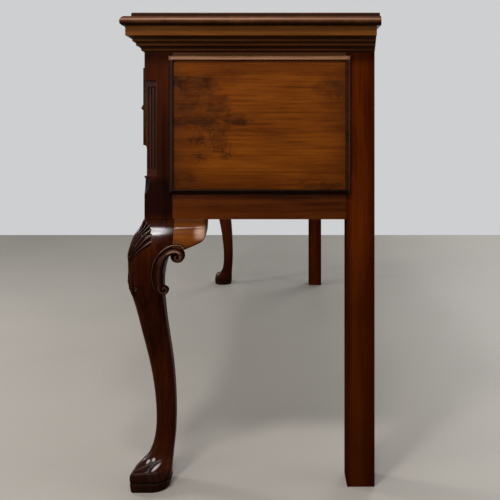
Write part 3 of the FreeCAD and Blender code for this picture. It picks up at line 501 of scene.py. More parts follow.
def polished_wood(name, grain, pale, dark, ribbon=0.5, pores=0.5, cloud=0.5, gloss=0.22, scuffs=0.4,
                  carved=False, shade=None, gleam=None, shine=0.05, fine=1.0):
    """Wood under old polish. shade changes its colour by place, and gleam gives the weight of its coat."""
    material, n, shader, place = new_material(name)
    turn = n.add("Mapping")
    n.put(turn.inputs["Vector"], place)
    turn.inputs["Rotation"].default_value = GRAIN_TURN[grain]
    turn.inputs["Scale"].default_value = (fine, fine, fine)
    along = turn.outputs[0]
    wood = group_node(n, WOOD_FIGURE, Coordinates=along, Pale=pale, Dark=dark, Ribbon=ribbon, Pores=pores,
                      Cloud=cloud)
    polish = group_node(n, OLD_POLISH, Coordinates=along, Gloss_Roughness=gloss, Scuffs=scuffs,
                        Pore_Mask=wood["Pore Mask"])
    color, roughness, rubbed = wood["Color"], polish["Roughness"], None
    if carved:
        # Carving: dirty polish and painted shade in its hollows, painted highlights on its most raised
        # ridges.
        dirt_shade_and_glints = group_node(n, CARVING_DIRT_SHADE_AND_GLINTS, Color=color, Coordinates=place, Strength=0.95)
        color, rubbed = dirt_shade_and_glints["Color"], dirt_shade_and_glints["Rubbed"]
        roughness = n.plus(roughness, n.times(dirt_shade_and_glints["Dirt And Shade"], 0.4), clamp=True)
    if shade:
        color = shade(n, place, color)
    if gleam:
        n.put(shader["Coat Weight"], gleam(n, place, rubbed))
        shader["Coat Roughness"].default_value = 0.25
    n.put(shader["Base Color"], color)
    n.put(shader["Roughness"], roughness)
    n.put(shader["Normal"], n.bump(polish["Height"], 0.12, 0.0012))
    shader["Specular IOR Level"].default_value = shine
    shader["Specular Tint"].default_value = (1.0, 0.86, 0.78, 1.0)
    return material


# Wear, painted light and painted shade by place. Heights and distances in these are metres, because shaders
# see the scene's own units.

END_MIDDLE = 0.01375  # along Y
PANEL_MIDDLE = (0.0200, 0.606)  # of its pale part, along Y and Z
# Level bands where colour or coat changes, painted highlights among them: height, half height and soft edge
SWELLING = (0.424, 0.005, 0.008)
BLOCK_GLEAM = (0.4322, 0.0008, 0.0016)
STOP_BLACK = (0.492, 0.024, 0.012)
ANKLE_BLACK = (0.085, 0.02, 0.04)
TABLE_DARK = (0.7835, 0.0020, 0.0025)
NOSE_PAINTED_HIGHLIGHT = (0.7757, 0.0006, 0.0022)
# The cornice's fillets, spared part of the painted shade as painted light
FILLETS = ((0.7428, 0.0014), (0.7363, 0.0014), (0.7285, 0.0012))  # middle and half height
# Marks on the end panel: kind, place along Y and Z, half width, half height, strength
PANEL_BRUISES = [
    ("smoke", -0.096, 0.661, 0.044, 0.026, 0.8), ("smoke", -0.061, 0.612, 0.076, 0.011, 0.7),
    ("smoke", -0.120, 0.610, 0.016, 0.010, 0.7), ("smoke", -0.060, 0.590, 0.032, 0.026, 0.6),
    ("smoke", 0.112, 0.503, 0.05, 0.009, 0.7), ("smoke", -0.122, 0.512, 0.032, 0.02, 0.5),
    ("smoke", 0.132, 0.668, 0.032, 0.011, 0.6), ("smoke", -0.080, 0.636, 0.050, 0.022, 0.6),
    ("scratch", -0.090, 0.655, 0.042, 0.034, 0.6), ("scratch", -0.067, 0.580, 0.040, 0.036, 0.72),
    ("scratch", 0.134, 0.664, 0.034, 0.018, 0.45)]
# Painted highlights on the foot: in from the corner, height, half width, half length
FOOT_PAINTED_HIGHLIGHTS = [
    (0.0210, 0.0362, 0.0021, 0.0080), (0.0066, 0.0428, 0.0017, 0.0034), (0.0154, 0.0447, 0.0025, 0.0028)]
HIGHLIGHT_LEAN = math.radians(31)


def moulding_shade(n, place, color):
    """Painted shade on the small members under the fascia, lighter on their upright fillets as painted light.
    """
    height = n.uneven(n.split(place)["Z"], place, 30.0, 3.0, 0.0006)
    # Painted light: the fillets keep out of most of the painted shade.
    rubbed = n.larger(*[n.band(height, middle, half, 0.0005) for middle, half in FILLETS])
    dark = n.times(n.span(height, 0.7500, 0.7485), n.minus(0.86, n.times(rubbed, 0.42)))
    return n.mix(dark, color, rgb(14, 4, 2))


def panel_edges(n, place):
    """1 at the edges of the end panel, fading unevenly to 0 some way in."""
    at = n.split(place)
    across = n.span(n.distance(at["Y"], PANEL_MIDDLE[0]), 0.086, 0.15)
    up = n.span(n.distance(at["Z"], PANEL_MIDDLE[1]), 0.070, 0.112)
    uneven = n.span(n.streaks(place, (1.0, 7.0, 13.0), 4.0, 0.6), 0.3, 0.7, 0.45, 1.15)
    return n.times(n.larger(across, up), uneven, clamp=True)


def end_panel_shade(n, place, color):
    """Smoky bruises and crossed scratches on the shown end panel, and darker polish round its edges."""
    at = n.split(place)
    ragged = n.span(n.streaks(place, (1.0, 28.0, 44.0), 3.0, 0.6), 0.3, 0.7, -0.7, 0.9)
    masks = {"smoke": [], "scratch": []}
    for kind, y, z, wide, high, strength in PANEL_BRUISES:
        across = n.maths("POWER", n.maths("DIVIDE", n.distance(at["Y"], y), wide), 3.0)
        up = n.maths("POWER", n.maths("DIVIDE", n.distance(at["Z"], z), high), 3.0)
        far = n.plus(n.plus(across, up), ragged)
        masks[kind].append(n.times(n.span(far, 1.3, 0.2, soft=True), strength))
    smoke = n.span(n.streaks(place, (1.0, 30.0, 60.0), 5.0, 0.7, 0.5), 0.34, 0.6)
    bars = n.span(n.streaks(place, (1.0, 90.0, 700.0), 2.0, 0.5), 0.46, 0.58)
    posts = n.span(n.streaks(place, (1.0, 600.0, 110.0), 2.0, 0.5, 0.2), 0.48, 0.6)
    broken = n.span(n.noise(place, 60.0, 3.0, 0.6), 0.36, 0.52)
    scratches = n.times(n.larger(bars, posts), broken)
    scratches = n.times(n.larger(*masks["scratch"]), scratches)
    dark = n.larger(n.times(n.larger(*masks["smoke"]), smoke), scratches)
    dark = n.times(dark, n.maths("GREATER_THAN", at["X"], 0.0), clamp=True)
    color = n.mix(n.times(panel_edges(n, place), 0.72), color, rgb(46, 15, 3))
    return n.mix(dark, color, rgb(18, 8, 5))


def rear_leg_shade(n, place, color):
    """Darker along both edges of the rear leg and down towards its foot."""
    at = n.split(place)
    across = n.plus(at["Y"], n.times(n.streaks(place, (40.0, 40.0, 5.0), 3.0), 0.008))
    edges = n.larger(n.span(across, 0.173, 0.164), n.times(n.span(across, 0.186, 0.204), 0.8))
    color = n.mix(n.span(at["Z"], 0.5, 0.3, 0.0, 0.5), color, rgb(30, 9, 2))
    return n.mix(n.times(edges, 0.75), color, rgb(34, 6, 2))


def end_rail_shade(n, place, color):
    """Dark joints at both ends of the end rails; the upper rail is a little lighter as painted light."""
    at = n.split(place)
    joints = n.span(n.distance(at["Y"], END_MIDDLE), 0.1425, 0.1462)
    # Painted light: the upper rail is lightened against the cornice's shade.
    color = n.mix(n.span(at["Z"], 0.70, 0.71, 0.0, 0.14), color, rgb(150, 104, 70))
    return n.mix(n.times(joints, 0.8), color, rgb(16, 5, 2))


def from_corner(n, place):
    """Distance in from the nearer front leg's outer corner along either shown face, and the height."""
    at = n.split(place)
    along_side = n.minus(at["Y"], FRONT * MM)
    along_front = n.minus(HALF * MM, n.maths("ABSOLUTE", at["X"]))
    return n.larger(along_side, along_front), at["Z"]


def foot_painted_highlights(n, place):
    """1 in the middle of each painted highlight spot, which leans up and away from the corner."""
    across, height = from_corner(n, place)
    level_part, upright_part = math.cos(HIGHLIGHT_LEAN), math.sin(HIGHLIGHT_LEAN)
    spots = []
    for v, z, wide, long in FOOT_PAINTED_HIGHLIGHTS:
        off, up = n.minus(across, v), n.minus(height, z)
        along = n.plus(n.times(off, level_part / long), n.times(up, upright_part / long))
        beside = n.minus(n.times(off, upright_part / wide), n.times(up, level_part / wide))
        spots.append(n.span(n.plus(n.times(along, along), n.times(beside, beside)), 1.5, 0.0, soft=True))
    return n.larger(*spots)


def front_leg_shade(n, place, color):
    """Darker above the knee, at the ankle and round the foot's pad, with painted highlights on the foot."""
    z = n.split(place)["Z"]
    height = n.uneven(z, place, 25.0, 2.0, 0.02)
    post = n.times(n.band(height, *STOP_BLACK), 0.75)
    ankle = n.times(n.band(height, *ANKLE_BLACK), 0.4)
    color = n.mix(n.span(z, 0.0305, 0.0275, 0.0, 0.5), color, rgb(18, 11, 9))
    # Painted highlights: pale spots on the foot where its polish would catch the light.
    color = n.mix(n.times(foot_painted_highlights(n, place), 0.66), color, rgb(196, 182, 180))
    return n.mix(n.larger(post, ankle), color, rgb(13, 2, 1))


def front_leg_gleam(n, place, rubbed):
    """Coat on a soft patch of the knee, faintly on top of the foot, and on the carving's rubbed ridges."""
    across, height = from_corner(n, place)
    narrowing = n.minus(height, n.times(n.minus(across, 0.02), 0.4))
    knee = n.span(across, 0.020, 0.058, 1.0, 0.0, soft=True)
    knee = n.times(knee, n.span(narrowing, 0.402, 0.424, soft=True))
    knee = n.times(knee, n.span(height, 0.424, 0.446, 1.0, 0.1, soft=True))
    foot = n.times(n.span(height, 0.058, 0.050, soft=True), n.span(height, 0.0285, 0.031, 0.1, 1.0))
    foot = n.times(foot, n.span(across, 0.040, 0.028, 0.1, 1.0, soft=True))
    return n.larger(n.times(knee, 0.53), n.times(foot, 0.07), n.times(rubbed, 0.38))


def knee_block_shade(n, place, color):
    """Darker along the block's top and towards its lower edge, a painted highlight on its swelling and
    painted shade on its end.
    """
    across, height = from_corner(n, place)
    swelling = n.times(n.span(across, 0.080, 0.094, soft=True), n.band(height, *SWELLING))
    color = n.mix(n.span(height, 0.4355, 0.4425, 0.0, 0.6, soft=True), color, rgb(44, 16, 5))
    color = n.mix(n.span(height, 0.420, 0.398, 0.0, 0.4, soft=True), color, rgb(50, 20, 5))
    # Painted highlight: pale patch on the swelling where its polish catches the light.
    color = n.mix(n.times(swelling, 0.42), color, rgb(196, 160, 134))
    # Painted shade: the block's end face darkened as if in shadow.
    return n.mix(n.span(across, 0.0995, 0.1035, 0.0, 0.9), color, rgb(12, 5, 3))


def knee_block_gleam(n, place, _rubbed):
    """Coat along the block's arris and on the swelling at its end."""
    across, height = from_corner(n, place)
    broken = n.span(n.noise(place, 210.0, 3.0, 0.6), 0.3, 0.62)
    line = n.times(n.band(height, *BLOCK_GLEAM), n.span(across, 0.098, 0.05, 0.25, 0.8))
    end = n.times(n.span(across, 0.078, 0.094, soft=True), n.span(across, 0.1015, 0.0985, soft=True))
    end = n.times(n.times(end, n.band(height, *SWELLING)), broken)
    return n.larger(n.times(line, 0.3), end, n.times(broken, 0.03))


def top_shade(n, place, color):
    """Darker band on the table's edge, a painted highlight along the middle of the nose, and painted shade
    under the nose.
    """
    height = n.uneven(n.split(place)["Z"], place, 24.0, 3.0, 0.0012)
    color = n.mix(n.times(n.band(height, *TABLE_DARK), 0.8), color, rgb(30, 16, 10))
    # Painted highlight along the middle of the nose.
    color = n.mix(n.times(n.band(height, *NOSE_PAINTED_HIGHLIGHT), 0.46), color, rgb(150, 114, 90))
    # Painted shade on the nose's underside.
    return n.mix(n.span(height, 0.7725, 0.7685, 0.0, 0.85, soft=True), color, rgb(14, 4, 2))


def panel_moulding_shade(n, place, color):
    """Painted highlight on the frame's top run, painted shade on its bottom and front runs."""
    at = n.split(place)
    uneven_highlight = n.span(n.streaks(place, (1.0, 16.0, 120.0), 3.0), 0.25, 0.6, 0.55, 1.0)
    high_run = n.times(n.span(at["Z"], 0.7105, 0.7130), uneven_highlight)
    low_run = n.span(at["Z"], 0.4985, 0.4955)
    front_run = n.times(n.span(at["Y"], -0.1290, -0.1305), n.span(at["Z"], 0.7115, 0.7095))
    # Painted highlight on the top run.
    color = n.mix(n.times(high_run, 0.72), color, rgb(135, 94, 65))
    # Painted shade on the bottom and front runs.
    return n.mix(n.larger(n.times(low_run, 0.85), n.times(front_run, 0.7)), color, rgb(9, 3, 2))


def drawer_end_grain_and_shade(n, _place, color):
    """Faces across the grain are nearly black: end grain that drinks the stain, and painted shade for the
    drawer ends beside the posts.
    """
    facing = n.split(n.add("NewGeometry").outputs["True Normal"])
    end = n.span(n.maths("ABSOLUTE", facing["X"]), 0.5, 0.8)
    return n.mix(n.times(end, 0.85), color, rgb(20, 7, 3))


FRAME_RED = rgb(86, 38, 7), rgb(42, 14, 2)
TOP_WOOD = polished_wood("top_polish", "x", rgb(80, 42, 22), rgb(38, 16, 7), ribbon=0.6, shade=top_shade,
                         shine=0.035)
MOULDING_X, MOULDING_Y = [
    polished_wood(run + "_moulding_polish", grain, rgb(116, 68, 24), rgb(60, 29, 7), ribbon=0.55, gloss=0.2,
                  shade=moulding_shade)
    for run, grain in (("front", "x"), ("end", "y"))]
PANEL_WOOD = polished_wood("end_panel_polish", "y", rgb(114, 58, 10), rgb(72, 31, 4), ribbon=0.3, cloud=0.6,
                           gloss=0.24, shade=end_panel_shade, fine=1.8)
PANEL_MOULD = polished_wood("panel_moulding_polish", "y", rgb(58, 24, 7), rgb(26, 7, 2), gloss=0.24,
                            shade=panel_moulding_shade, shine=0.03)
CARVED_WOOD = polished_wood("carved_leg_polish", "z", rgb(56, 20, 5), rgb(18, 4, 1), cloud=0.8, gloss=0.24,
                            carved=True, shade=front_leg_shade, gleam=front_leg_gleam, shine=0.012)
BLOCK_WOOD = {
    face: polished_wood(name, grain, rgb(106, 54, 14), rgb(52, 21, 4), cloud=0.9, gloss=0.34, scuffs=0.6,
                        carved=True, shade=knee_block_shade, gleam=knee_block_gleam, shine=0.03)
    for face, name, grain in (
        ("side", "knee_block_polish", "y"), ("front", "front_knee_block_polish", "x"))}
STILE_WOOD = polished_wood("rear_leg_polish", "z", rgb(88, 34, 4), rgb(44, 12, 1), ribbon=0.55, cloud=0.8,
                           shade=rear_leg_shade, shine=0.0)
END_RAIL_WOOD = polished_wood("end_rail_polish", "y", *FRAME_RED, ribbon=0.55, cloud=0.7,
                              shade=end_rail_shade)
FRONT_RAIL_WOOD = polished_wood("front_rail_polish", "x", *FRAME_RED, ribbon=0.55, cloud=0.7)
DIVIDER_WOOD = polished_wood("divider_polish", "z", *FRAME_RED)
DRAWER_WOOD = polished_wood("drawer_front_polish", "x", rgb(100, 48, 12), rgb(46, 18, 4), ribbon=0.7,
                            cloud=0.9, shade=drawer_end_grain_and_shade)


def raw_oak(name, grain, pale, dark):
    return polished_wood(name, grain, pale, dark, ribbon=0.35, pores=0.9, gloss=0.55, scuffs=0.2, shine=0.3)


LINING_X = raw_oak("drawer_oak_across", "x", rgb(186, 150, 104), rgb(138, 102, 62))
LINING_Y = raw_oak("drawer_oak_along", "y", rgb(186, 150, 104), rgb(138, 102, 62))
BACK_OAK = raw_oak("back_oak_boards", "x", rgb(126, 94, 62), rgb(84, 58, 36))


def metal(name, bright, tarnish, rough, amount):
    """Old metal: brown tarnish that gathers in patches over a rubbed bright ground."""
    material, n, shader, place = new_material(name)
    patch = n.span(n.noise(place, 130.0, 4.0, 0.65), 0.38, 0.66)
    fine = n.span(n.noise(place, 900.0, 3.0, 0.6), 0.4, 0.7)
    shade = n.times(n.plus(n.times(patch, 0.7), n.times(fine, 0.3)), amount)
    n.put(shader["Base Color"], n.mix(shade, bright, tarnish))
    shader["Metallic"].default_value = 1.0
    n.put(shader["Roughness"], n.plus(n.times(shade, 0.3), rough))
    n.put(shader["Normal"], n.bump(fine, 0.08, 0.0004))
    return material


# Brass kept dark partly as tarnish, partly as painted shade: the bail ends show only in shadow by the drawer
# lips.
OLD_BRASS = metal("handle_brass", rgb(70, 50, 26), rgb(18, 12, 7), 0.34, 1.0)
SCREW_STEEL = metal("screw_steel", rgb(150, 148, 144), rgb(70, 62, 56), 0.35, 0.7)


# Front legs

def ring_of(out, inward, corner, others, inmost, z):
    """Ring of points round one section of the leg, and how far each lies from the outer corner."""
    def arc(cx, cy, radius, start, count):
        angles = np.radians(np.linspace(start, start - 90, count, endpoint=False))
        return np.stack([cx + radius * np.cos(angles), cy + radius * np.sin(angles)], axis=1)

    def run(start, end, count):
        t = np.linspace(0, 1, count, endpoint=False)[:, None]
        return np.array(start) * (1 - t) + np.array(end) * t

    def share(face):
        """1 on an outer face, falling to 0 inside the leg."""
        if out <= -FACE_FADE:
            return np.zeros_like(face)
        return np.clip((face + FACE_FADE) / (out + FACE_FADE), 0, 1)

    back = inward - others
    deep = inward - inmost
    near = out - corner
    parts = [
        run((out, back), (out, -near), SIDE_SAMPLES),
        arc(near, -near, corner, 0, CORNER_SAMPLES),
        run((near, -out), (-back, -out), SIDE_SAMPLES),
        arc(-back, -out + others, others, -90, PLAIN_SAMPLES),
        run((-inward, -out + others), (-inward, deep), PLAIN_SAMPLES),
        arc(-deep, deep, inmost, 180, 2 * PLAIN_SAMPLES),
        run((-deep, inward), (out - others, inward), PLAIN_SAMPLES),
        arc(out - others, back, others, 90, PLAIN_SAMPLES)]
    ring = np.concatenate(parts)
    x, y = ring.T
    point = np.interp(z, *TOE_POINT)
    side_back = point * np.clip(y + near, 0, None) + knee_bow(y, z)
    front_back = point * np.clip(near - x, 0, None) + knee_bow(-x, z)
    ring = np.column_stack([x - side_back * share(x), y + front_back * share(-y)])
    length = np.concatenate([[0], np.cumsum(np.hypot(*np.diff(ring, axis=0).T))])
    return ring, length - length[SIDE_SAMPLES + CORNER_SAMPLES // 2]


def knee_out(z):
    """How far the knee's side face stands out at a height."""
    return spline(LEG_SECTIONS[:, :2], np.atleast_1d(z))[:, 0]


def knee_bow(v, z):
    """How far the bowed face of knee and knee block falls back, by distance in from the corner."""
    far = v - BOW_START
    curve = (np.clip(far, 0, BOW_ROUND) ** 2 + 2 * BOW_ROUND * np.clip(far - BOW_ROUND, 0, None)) * BOW_RATE
    return curve * np.clip(knee_out(z), 0, None) * smoothstep(z, *BOW_HEIGHTS)


def shell_carving(s, z):
    """Height and hollow of the fan shell that wraps the knee's outer corner."""
    a = np.abs(s)
    rise = np.clip(z - SHELL_ROOT, 0.5, None)
    lines = [around * (rise / (top - SHELL_ROOT)) ** 1.9 for around, top in SHELL_TIPS]
    number = np.zeros_like(a)
    for inner, outer in zip(lines[:-1], lines[1:]):
        number += np.clip((a - inner) / (outer - inner), 0, 1)
    tips = np.array(SHELL_TIPS)
    rib = 0.5 + 0.5 * np.cos(number * 2 * math.pi)
    short = np.interp(number, np.arange(len(tips)), tips[:, 1]) - z
    start = smoothstep(z, SHELL_ROOT, SHELL_ROOT + 15)
    beside = smoothstep(5.5 - number, 0.0, 0.2)
    inside = smoothstep(short - 1.8 * (1 - rib), -0.3, 1.0) * beside * start
    deep = 1.1 + 2.2 * bell(short / 11.0)
    tip = bell(short / 9.0)
    height = inside * ((1.5 + 0.7 * tip) * rib ** 1.3 - deep * (1 - rib) ** 1.3)
    # Rib tips are marked as most raised, so the carving's colour gives them painted highlights.
    hollow = inside * (1.5 * (1 - rib) ** 1.1 - (0.7 + 0.5 * tip) * rib ** 3)
    return height, hollow


def husk_carving(s, z):
    """Husk under the shell: a pointed middle leaf, and two side leaves that curl outward."""
    down = HUSK_TOP - z
    a = np.abs(s)
    long = np.clip(down / HUSK_LONG, 0, 1)
    wide = 6.4 * np.sin(long ** 0.8 * math.pi) ** 0.7
    middle = smoothstep(wide - a, -0.7, 1.6) * smoothstep(down, 0, 5) * (1 - smoothstep(down, 44, 48))
    vein = bell(a / 0.9)
    line = 1.6 + 10.2 * smoothstep(down, 0, 28) ** 1.2
    side = bell((a - line) / 2.1) * smoothstep(down, 1, 7) * smoothstep(27 - down, -1, 3)
    curl_at, curl_height, radius = HUSK_CURL
    d = np.hypot(a - curl_at, z - curl_height)
    curl = bell((d - radius) / 0.95) + 0.8 * bell(d / 1.1)
    pit = bell((d - 1.6) / 0.6) + bell((d - radius - 1.8) / 0.8)
    groove = bell((a - wide - 0.9) / 0.8) * (down > 2) * (down < HUSK_LONG - 1)
    height = np.maximum(2.0 * middle - 0.9 * vein * middle, 1.7 * side)
    height = np.maximum(height, 1.9 * curl) - 0.5 * groove
    hollow = 0.8 * groove + 0.7 * vein * middle + 0.6 * pit - 0.8 * curl - 0.3 * side
    return height, hollow


def toe_carving(s, z):
    """Domed middle toe in a groove, a softer second toe beside it, and knuckles above on the instep."""
    a = np.abs(s)
    up = np.where(z > TOE_HEIGHT, (z - TOE_HEIGHT) / 8.0, (TOE_HEIGHT - z) / 8.5)
    far = np.hypot(a / 20.0, up)
    toe = smoothstep(1.15 - far, 0.0, 1.15)
    reach = smoothstep(z, PAD_TOP, 33.0)
    groove = bell((far - 1.2) / 0.26) * reach
    second = bell((a - 30.5) / 5.4) * (1 - smoothstep(z, 34, 48))
    knuckles = 0.3 * bell(a / 5.0, (z - 45.5) / 5.5) + 0.3 * bell((a - 13.0) / 5.0, (z - 45.0) / 5.5)
    height = reach * (1.5 * toe + 1.2 * second) - 0.25 * groove + knuckles
    return height, 0.75 * groove - 0.25 * toe * reach


def cabriole_shell():
    """Front leg from the floor to the square post, carved on the knee and the foot."""
    heights = np.concatenate([np.linspace(*run) for run in LEG_RINGS])
    rings, lengths = zip(*[ring_of(*row, z) for z, row in zip(heights, spline(LEG_SECTIONS, heights))])
    points = np.array([level(ring, z) for ring, z in zip(rings, heights)])
    s = np.array(lengths)
    z = points[..., 2]
    around = np.roll(points, -1, axis=1) - np.roll(points, 1, axis=1)
    upward = np.gradient(points, axis=0)
    normal = np.cross(upward, around)
    normal /= np.linalg.norm(normal, axis=2, keepdims=True)
    outside = np.zeros(s.shape[1], bool)
    outside[:2 * SIDE_SAMPLES + CORNER_SAMPLES] = True
    knee_height, knee_hollow = shell_carving(s, z)
    husk_height, husk_hollow = husk_carving(s, z)
    toe_height, toe_hollow = toe_carving(s, z)
    height = np.where(husk_height > 0.05, np.maximum(knee_height, husk_height), knee_height + husk_height)
    height = (height + toe_height) * outside
    hollow = np.clip(knee_hollow + husk_hollow + toe_hollow, -1, 1) * outside
    fade = smoothstep(KNEE_TOP - z, 0.4, 2.0)
    points = points + normal * (height * fade)[..., None]
    foot = [level(ring_of(*row[1:], row[4], row[0])[0], row[0]) for row in FOOT_ROWS]
    low, high = FOOT_GROOVE
    foot_marks = [np.full(points.shape[1], 1.0 if low < row[0] < high else 0.1) for row in FOOT_ROWS]
    return grid_shell(np.concatenate([foot, points]), np.concatenate([foot_marks, hollow]))


def post_shell():
    """Square post above the knee with its canted, fluted corner and lamb's tongue."""
    def rows(start, end, step):
        return np.linspace(start, end, max(2, int(round((end - start) / step)) + 1))
    heights = np.concatenate([
        [KNEE_TOP, KNEE_TOP + 0.5], rows(450, 488, 6), rows(STOP_LOW, STOP_HIGH - 0.2, 0.9),
        [STOP_HIGH, 515.5, 516.6, 517.6, CANT_LOW, CANT_LOW + 0.3],
        rows(520, FLUTE_LOW - 4.5, 2), rows(FLUTE_LOW - 4, FLUTE_LOW + 2, 0.4),
        rows(FLUTE_LOW + 4, FLUTE_HIGH - 4, 8), rows(FLUTE_HIGH - 2, FLUTE_HIGH + 4, 0.4),
        rows(FLUTE_HIGH + 5, CANT_HIGH - 1, 2), [CANT_HIGH - 0.3, CANT_HIGH, CANT_HIGH + 0.6],
        rows(684, 764.5, 8), [CASE_TOP]])
    inner = np.array([
        (-LEG_SQUARE + POST_ARRIS, 0), (-LEG_SQUARE, POST_ARRIS), (-LEG_SQUARE, LEG_SQUARE - POST_ARRIS),
        (-LEG_SQUARE + POST_ARRIS, LEG_SQUARE), (-POST_ARRIS, LEG_SQUARE), (0, LEG_SQUARE - POST_ARRIS)])
    tau = np.linspace(-CANT, CANT, CANT_SAMPLES)
    rings = []
    marks = []
    for z in heights:
        if CANT_LOW < z < CANT_HIGH:
            cant = CANT
        elif z < STOP_HIGH + 0.01:
            t = min(1, max(0, (z - STOP_LOW) / (STOP_HIGH - STOP_LOW)))
            cant = POST_ARRIS + STOP_SPREAD * t ** 0.6 * (2 - t) ** 0.3
        else:
            cant = POST_ARRIS
        inside = np.abs(tau) < cant
        v = np.where(inside, (cant + tau) / 2, np.maximum(tau, 0))
        u = np.where(inside, (cant - tau) / 2, np.maximum(-tau, 0))
        deep = np.zeros_like(tau)
        hollow = np.zeros_like(tau)
        if CANT_LOW < z < CANT_HIGH:
            across = tau / math.sqrt(2)
            beyond = max(FLUTE_LOW - z, z - FLUTE_HIGH, 0.0)
            for k in (-1, 0, 1):
                r2 = (across - k * FLUTE_PITCH) ** 2 + beyond ** 2
                deep = np.maximum(deep, FLUTE_DEEP * np.sqrt(np.clip(1 - r2 / FLUTE_RADIUS ** 2, 0, 1)))
            hollow = deep / FLUTE_DEEP
            ridge = np.clip(1 - np.abs(np.abs(across) - FLUTE_PITCH / 2), 0, 1)
            if FLUTE_LOW < z < FLUTE_HIGH:
                hollow = hollow - 0.8 * ridge
        elif STOP_LOW < z <= STOP_HIGH:
            hollow = inside.astype(float)
        v = v + deep / math.sqrt(2)
        u = u + deep / math.sqrt(2)
        rings.append(level(np.concatenate([np.column_stack([-u, v])[::-1], inner]), z))
        marks.append(np.concatenate([hollow[::-1], np.zeros(len(inner))]))
    return grid_shell(rings, marks)


def block_out(v, z):
    """Outer face of the knee block: the knee's curve with a faint arris and a swelling by its rounded end."""
    turn = np.clip((v - (BLOCK_EDGE[-1][0] - BLOCK_ROUND)) / BLOCK_ROUND, 0, 1)
    arris = 0.5 * bell((z - BLOCK_ARRIS - 0.03 * (v - BLOCK_START)) / 1.2)
    arris *= smoothstep(v, BLOCK_START, BLOCK_START + 8)
    swell = 2.0 * bell((v - BLOCK_SWELL[0]) / 9.0, (z - BLOCK_SWELL[1]) / 11.0)
    return knee_out(z) - knee_bow(v, z) + arris + swell - 5.0 * (1 - np.sqrt(np.clip(1 - turn ** 2, 0, 1)))


def surface_out(v, z):
    """Outer face of leg and knee block together, seen from the side."""
    return np.where(v > BLOCK_START, block_out(v, z), knee_out(z) - knee_bow(v, z))


def even_path(table, count):
    """Smooth curve through rows of numbers, evenly divided by the first two."""
    table = np.array(table, float)
    length = np.concatenate([[0], np.cumsum(np.hypot(*np.diff(table[:, :2], axis=0).T))])
    return spline(np.column_stack([length, table]), np.linspace(0, length[-1], count))


def strip(path, half_widths, heights, deep, count=15, sharp=2.2, dish=0.0, sink=0.0):
    """Closed raised strip along a path on the knee: crowned top, straight sides and a flat back."""
    ahead = np.gradient(path, axis=0)
    ahead /= np.linalg.norm(ahead, axis=1, keepdims=True)
    beside = np.column_stack([-ahead[:, 1], ahead[:, 0]])
    across = np.linspace(-1, 1, count)
    crown = (1 - np.abs(across) ** sharp) ** (1 / sharp)
    rings = []
    marks = []
    dishes = np.broadcast_to(dish, len(path))
    for point, half, high, side, dished in zip(path, half_widths, heights, beside, dishes):
        at = point + across[:, None] * half * side
        lowest, middle = surface_out(at[:, 0], at[:, 1]).min(), surface_out(point[:1], point[1:])[0]
        base = lowest * 0.35 + middle * 0.65 - sink
        x = base + high * crown - dished * (1 - across ** 2) ** 2
        back = [(base - deep, *at[-1]), (base - deep, *at[0])]
        rings.append(np.concatenate([np.column_stack([x, at]), back]))
        edge = np.abs(across) ** 3
        # Crowns above the volute's height are marked as most raised, for a painted highlight on the roll's
        # top.
        ridge = (0.75 + 0.3 * smoothstep(point[1], 389.0, 396.0)) * (1 - 0.45 * min(1.0, dished))
        marks.append(np.concatenate([1.3 * edge - ridge * (1 - across ** 2) ** 2, [0.9, 0.9]]))
    return grid_shell(rings, marks)


def dished_back(place, face, deep):
    """Closed round block behind a curl, a little dished in front."""
    v, z, radius = place
    profile = [(face - deep, radius, 0.2), (face - 0.8, radius, 0.2), (face, radius - 0.9, 0.4),
               (face - 0.6, radius * 0.7, 1.0), (face - 1.2, radius * 0.3, 1.0)]
    angles = np.linspace(0, 2 * math.pi, ROUND_SAMPLES, endpoint=False)
    rings = [np.column_stack([np.full(ROUND_SAMPLES, x), v + r * np.cos(angles), z + r * np.sin(angles)])
             for x, r, _ in profile]
    return grid_shell(rings, [np.full(ROUND_SAMPLES, mark) for _, _, mark in profile])


def scroll_shells():
    """Scroll up the back of the knee: outer bead, hollowed band with its volute, and the lower curl."""
    band = even_path(BAND_PATH, 150)
    along = np.linspace(0, 1, len(band))
    dish = 1.5 * smoothstep(along, 0.02, 0.1) * (1 - smoothstep(along, 0.30, 0.44))
    bead = even_path(BEAD_PATH, 110)
    bead_wide = 1.35 + 0.35 * smoothstep(bead[:, 1], 385, 404)
    bead_wide *= 0.35 + 0.65 * smoothstep(np.linspace(0, 1, len(bead)), 0, 0.08)
    tail = even_path(TAIL_PATH, 70)
    volute_face = float(surface_out(*np.array([VOLUTE_SEAT]).T)[0])
    tail_face = float(knee_out(TAIL_SEAT)[0])
    return [
        strip(band[:, :2], band[:, 2], band[:, 3], SCROLL_DEEP, dish=dish, sink=0.3),
        strip(bead, bead_wide, bead_wide * 1.5, BEAD_DEEP, count=9, sharp=2.0),
        strip(tail[:, :2], tail[:, 2], tail[:, 2] * 1.05, TAIL_DEEP, count=11, sharp=2.0, sink=0.2),
        dished_back(VOLUTE_BACK, volute_face - BACK_SINK, SCROLL_DEEP),
        dished_back(TAIL_BACK, tail_face - BACK_SINK, TAIL_DEEP)]


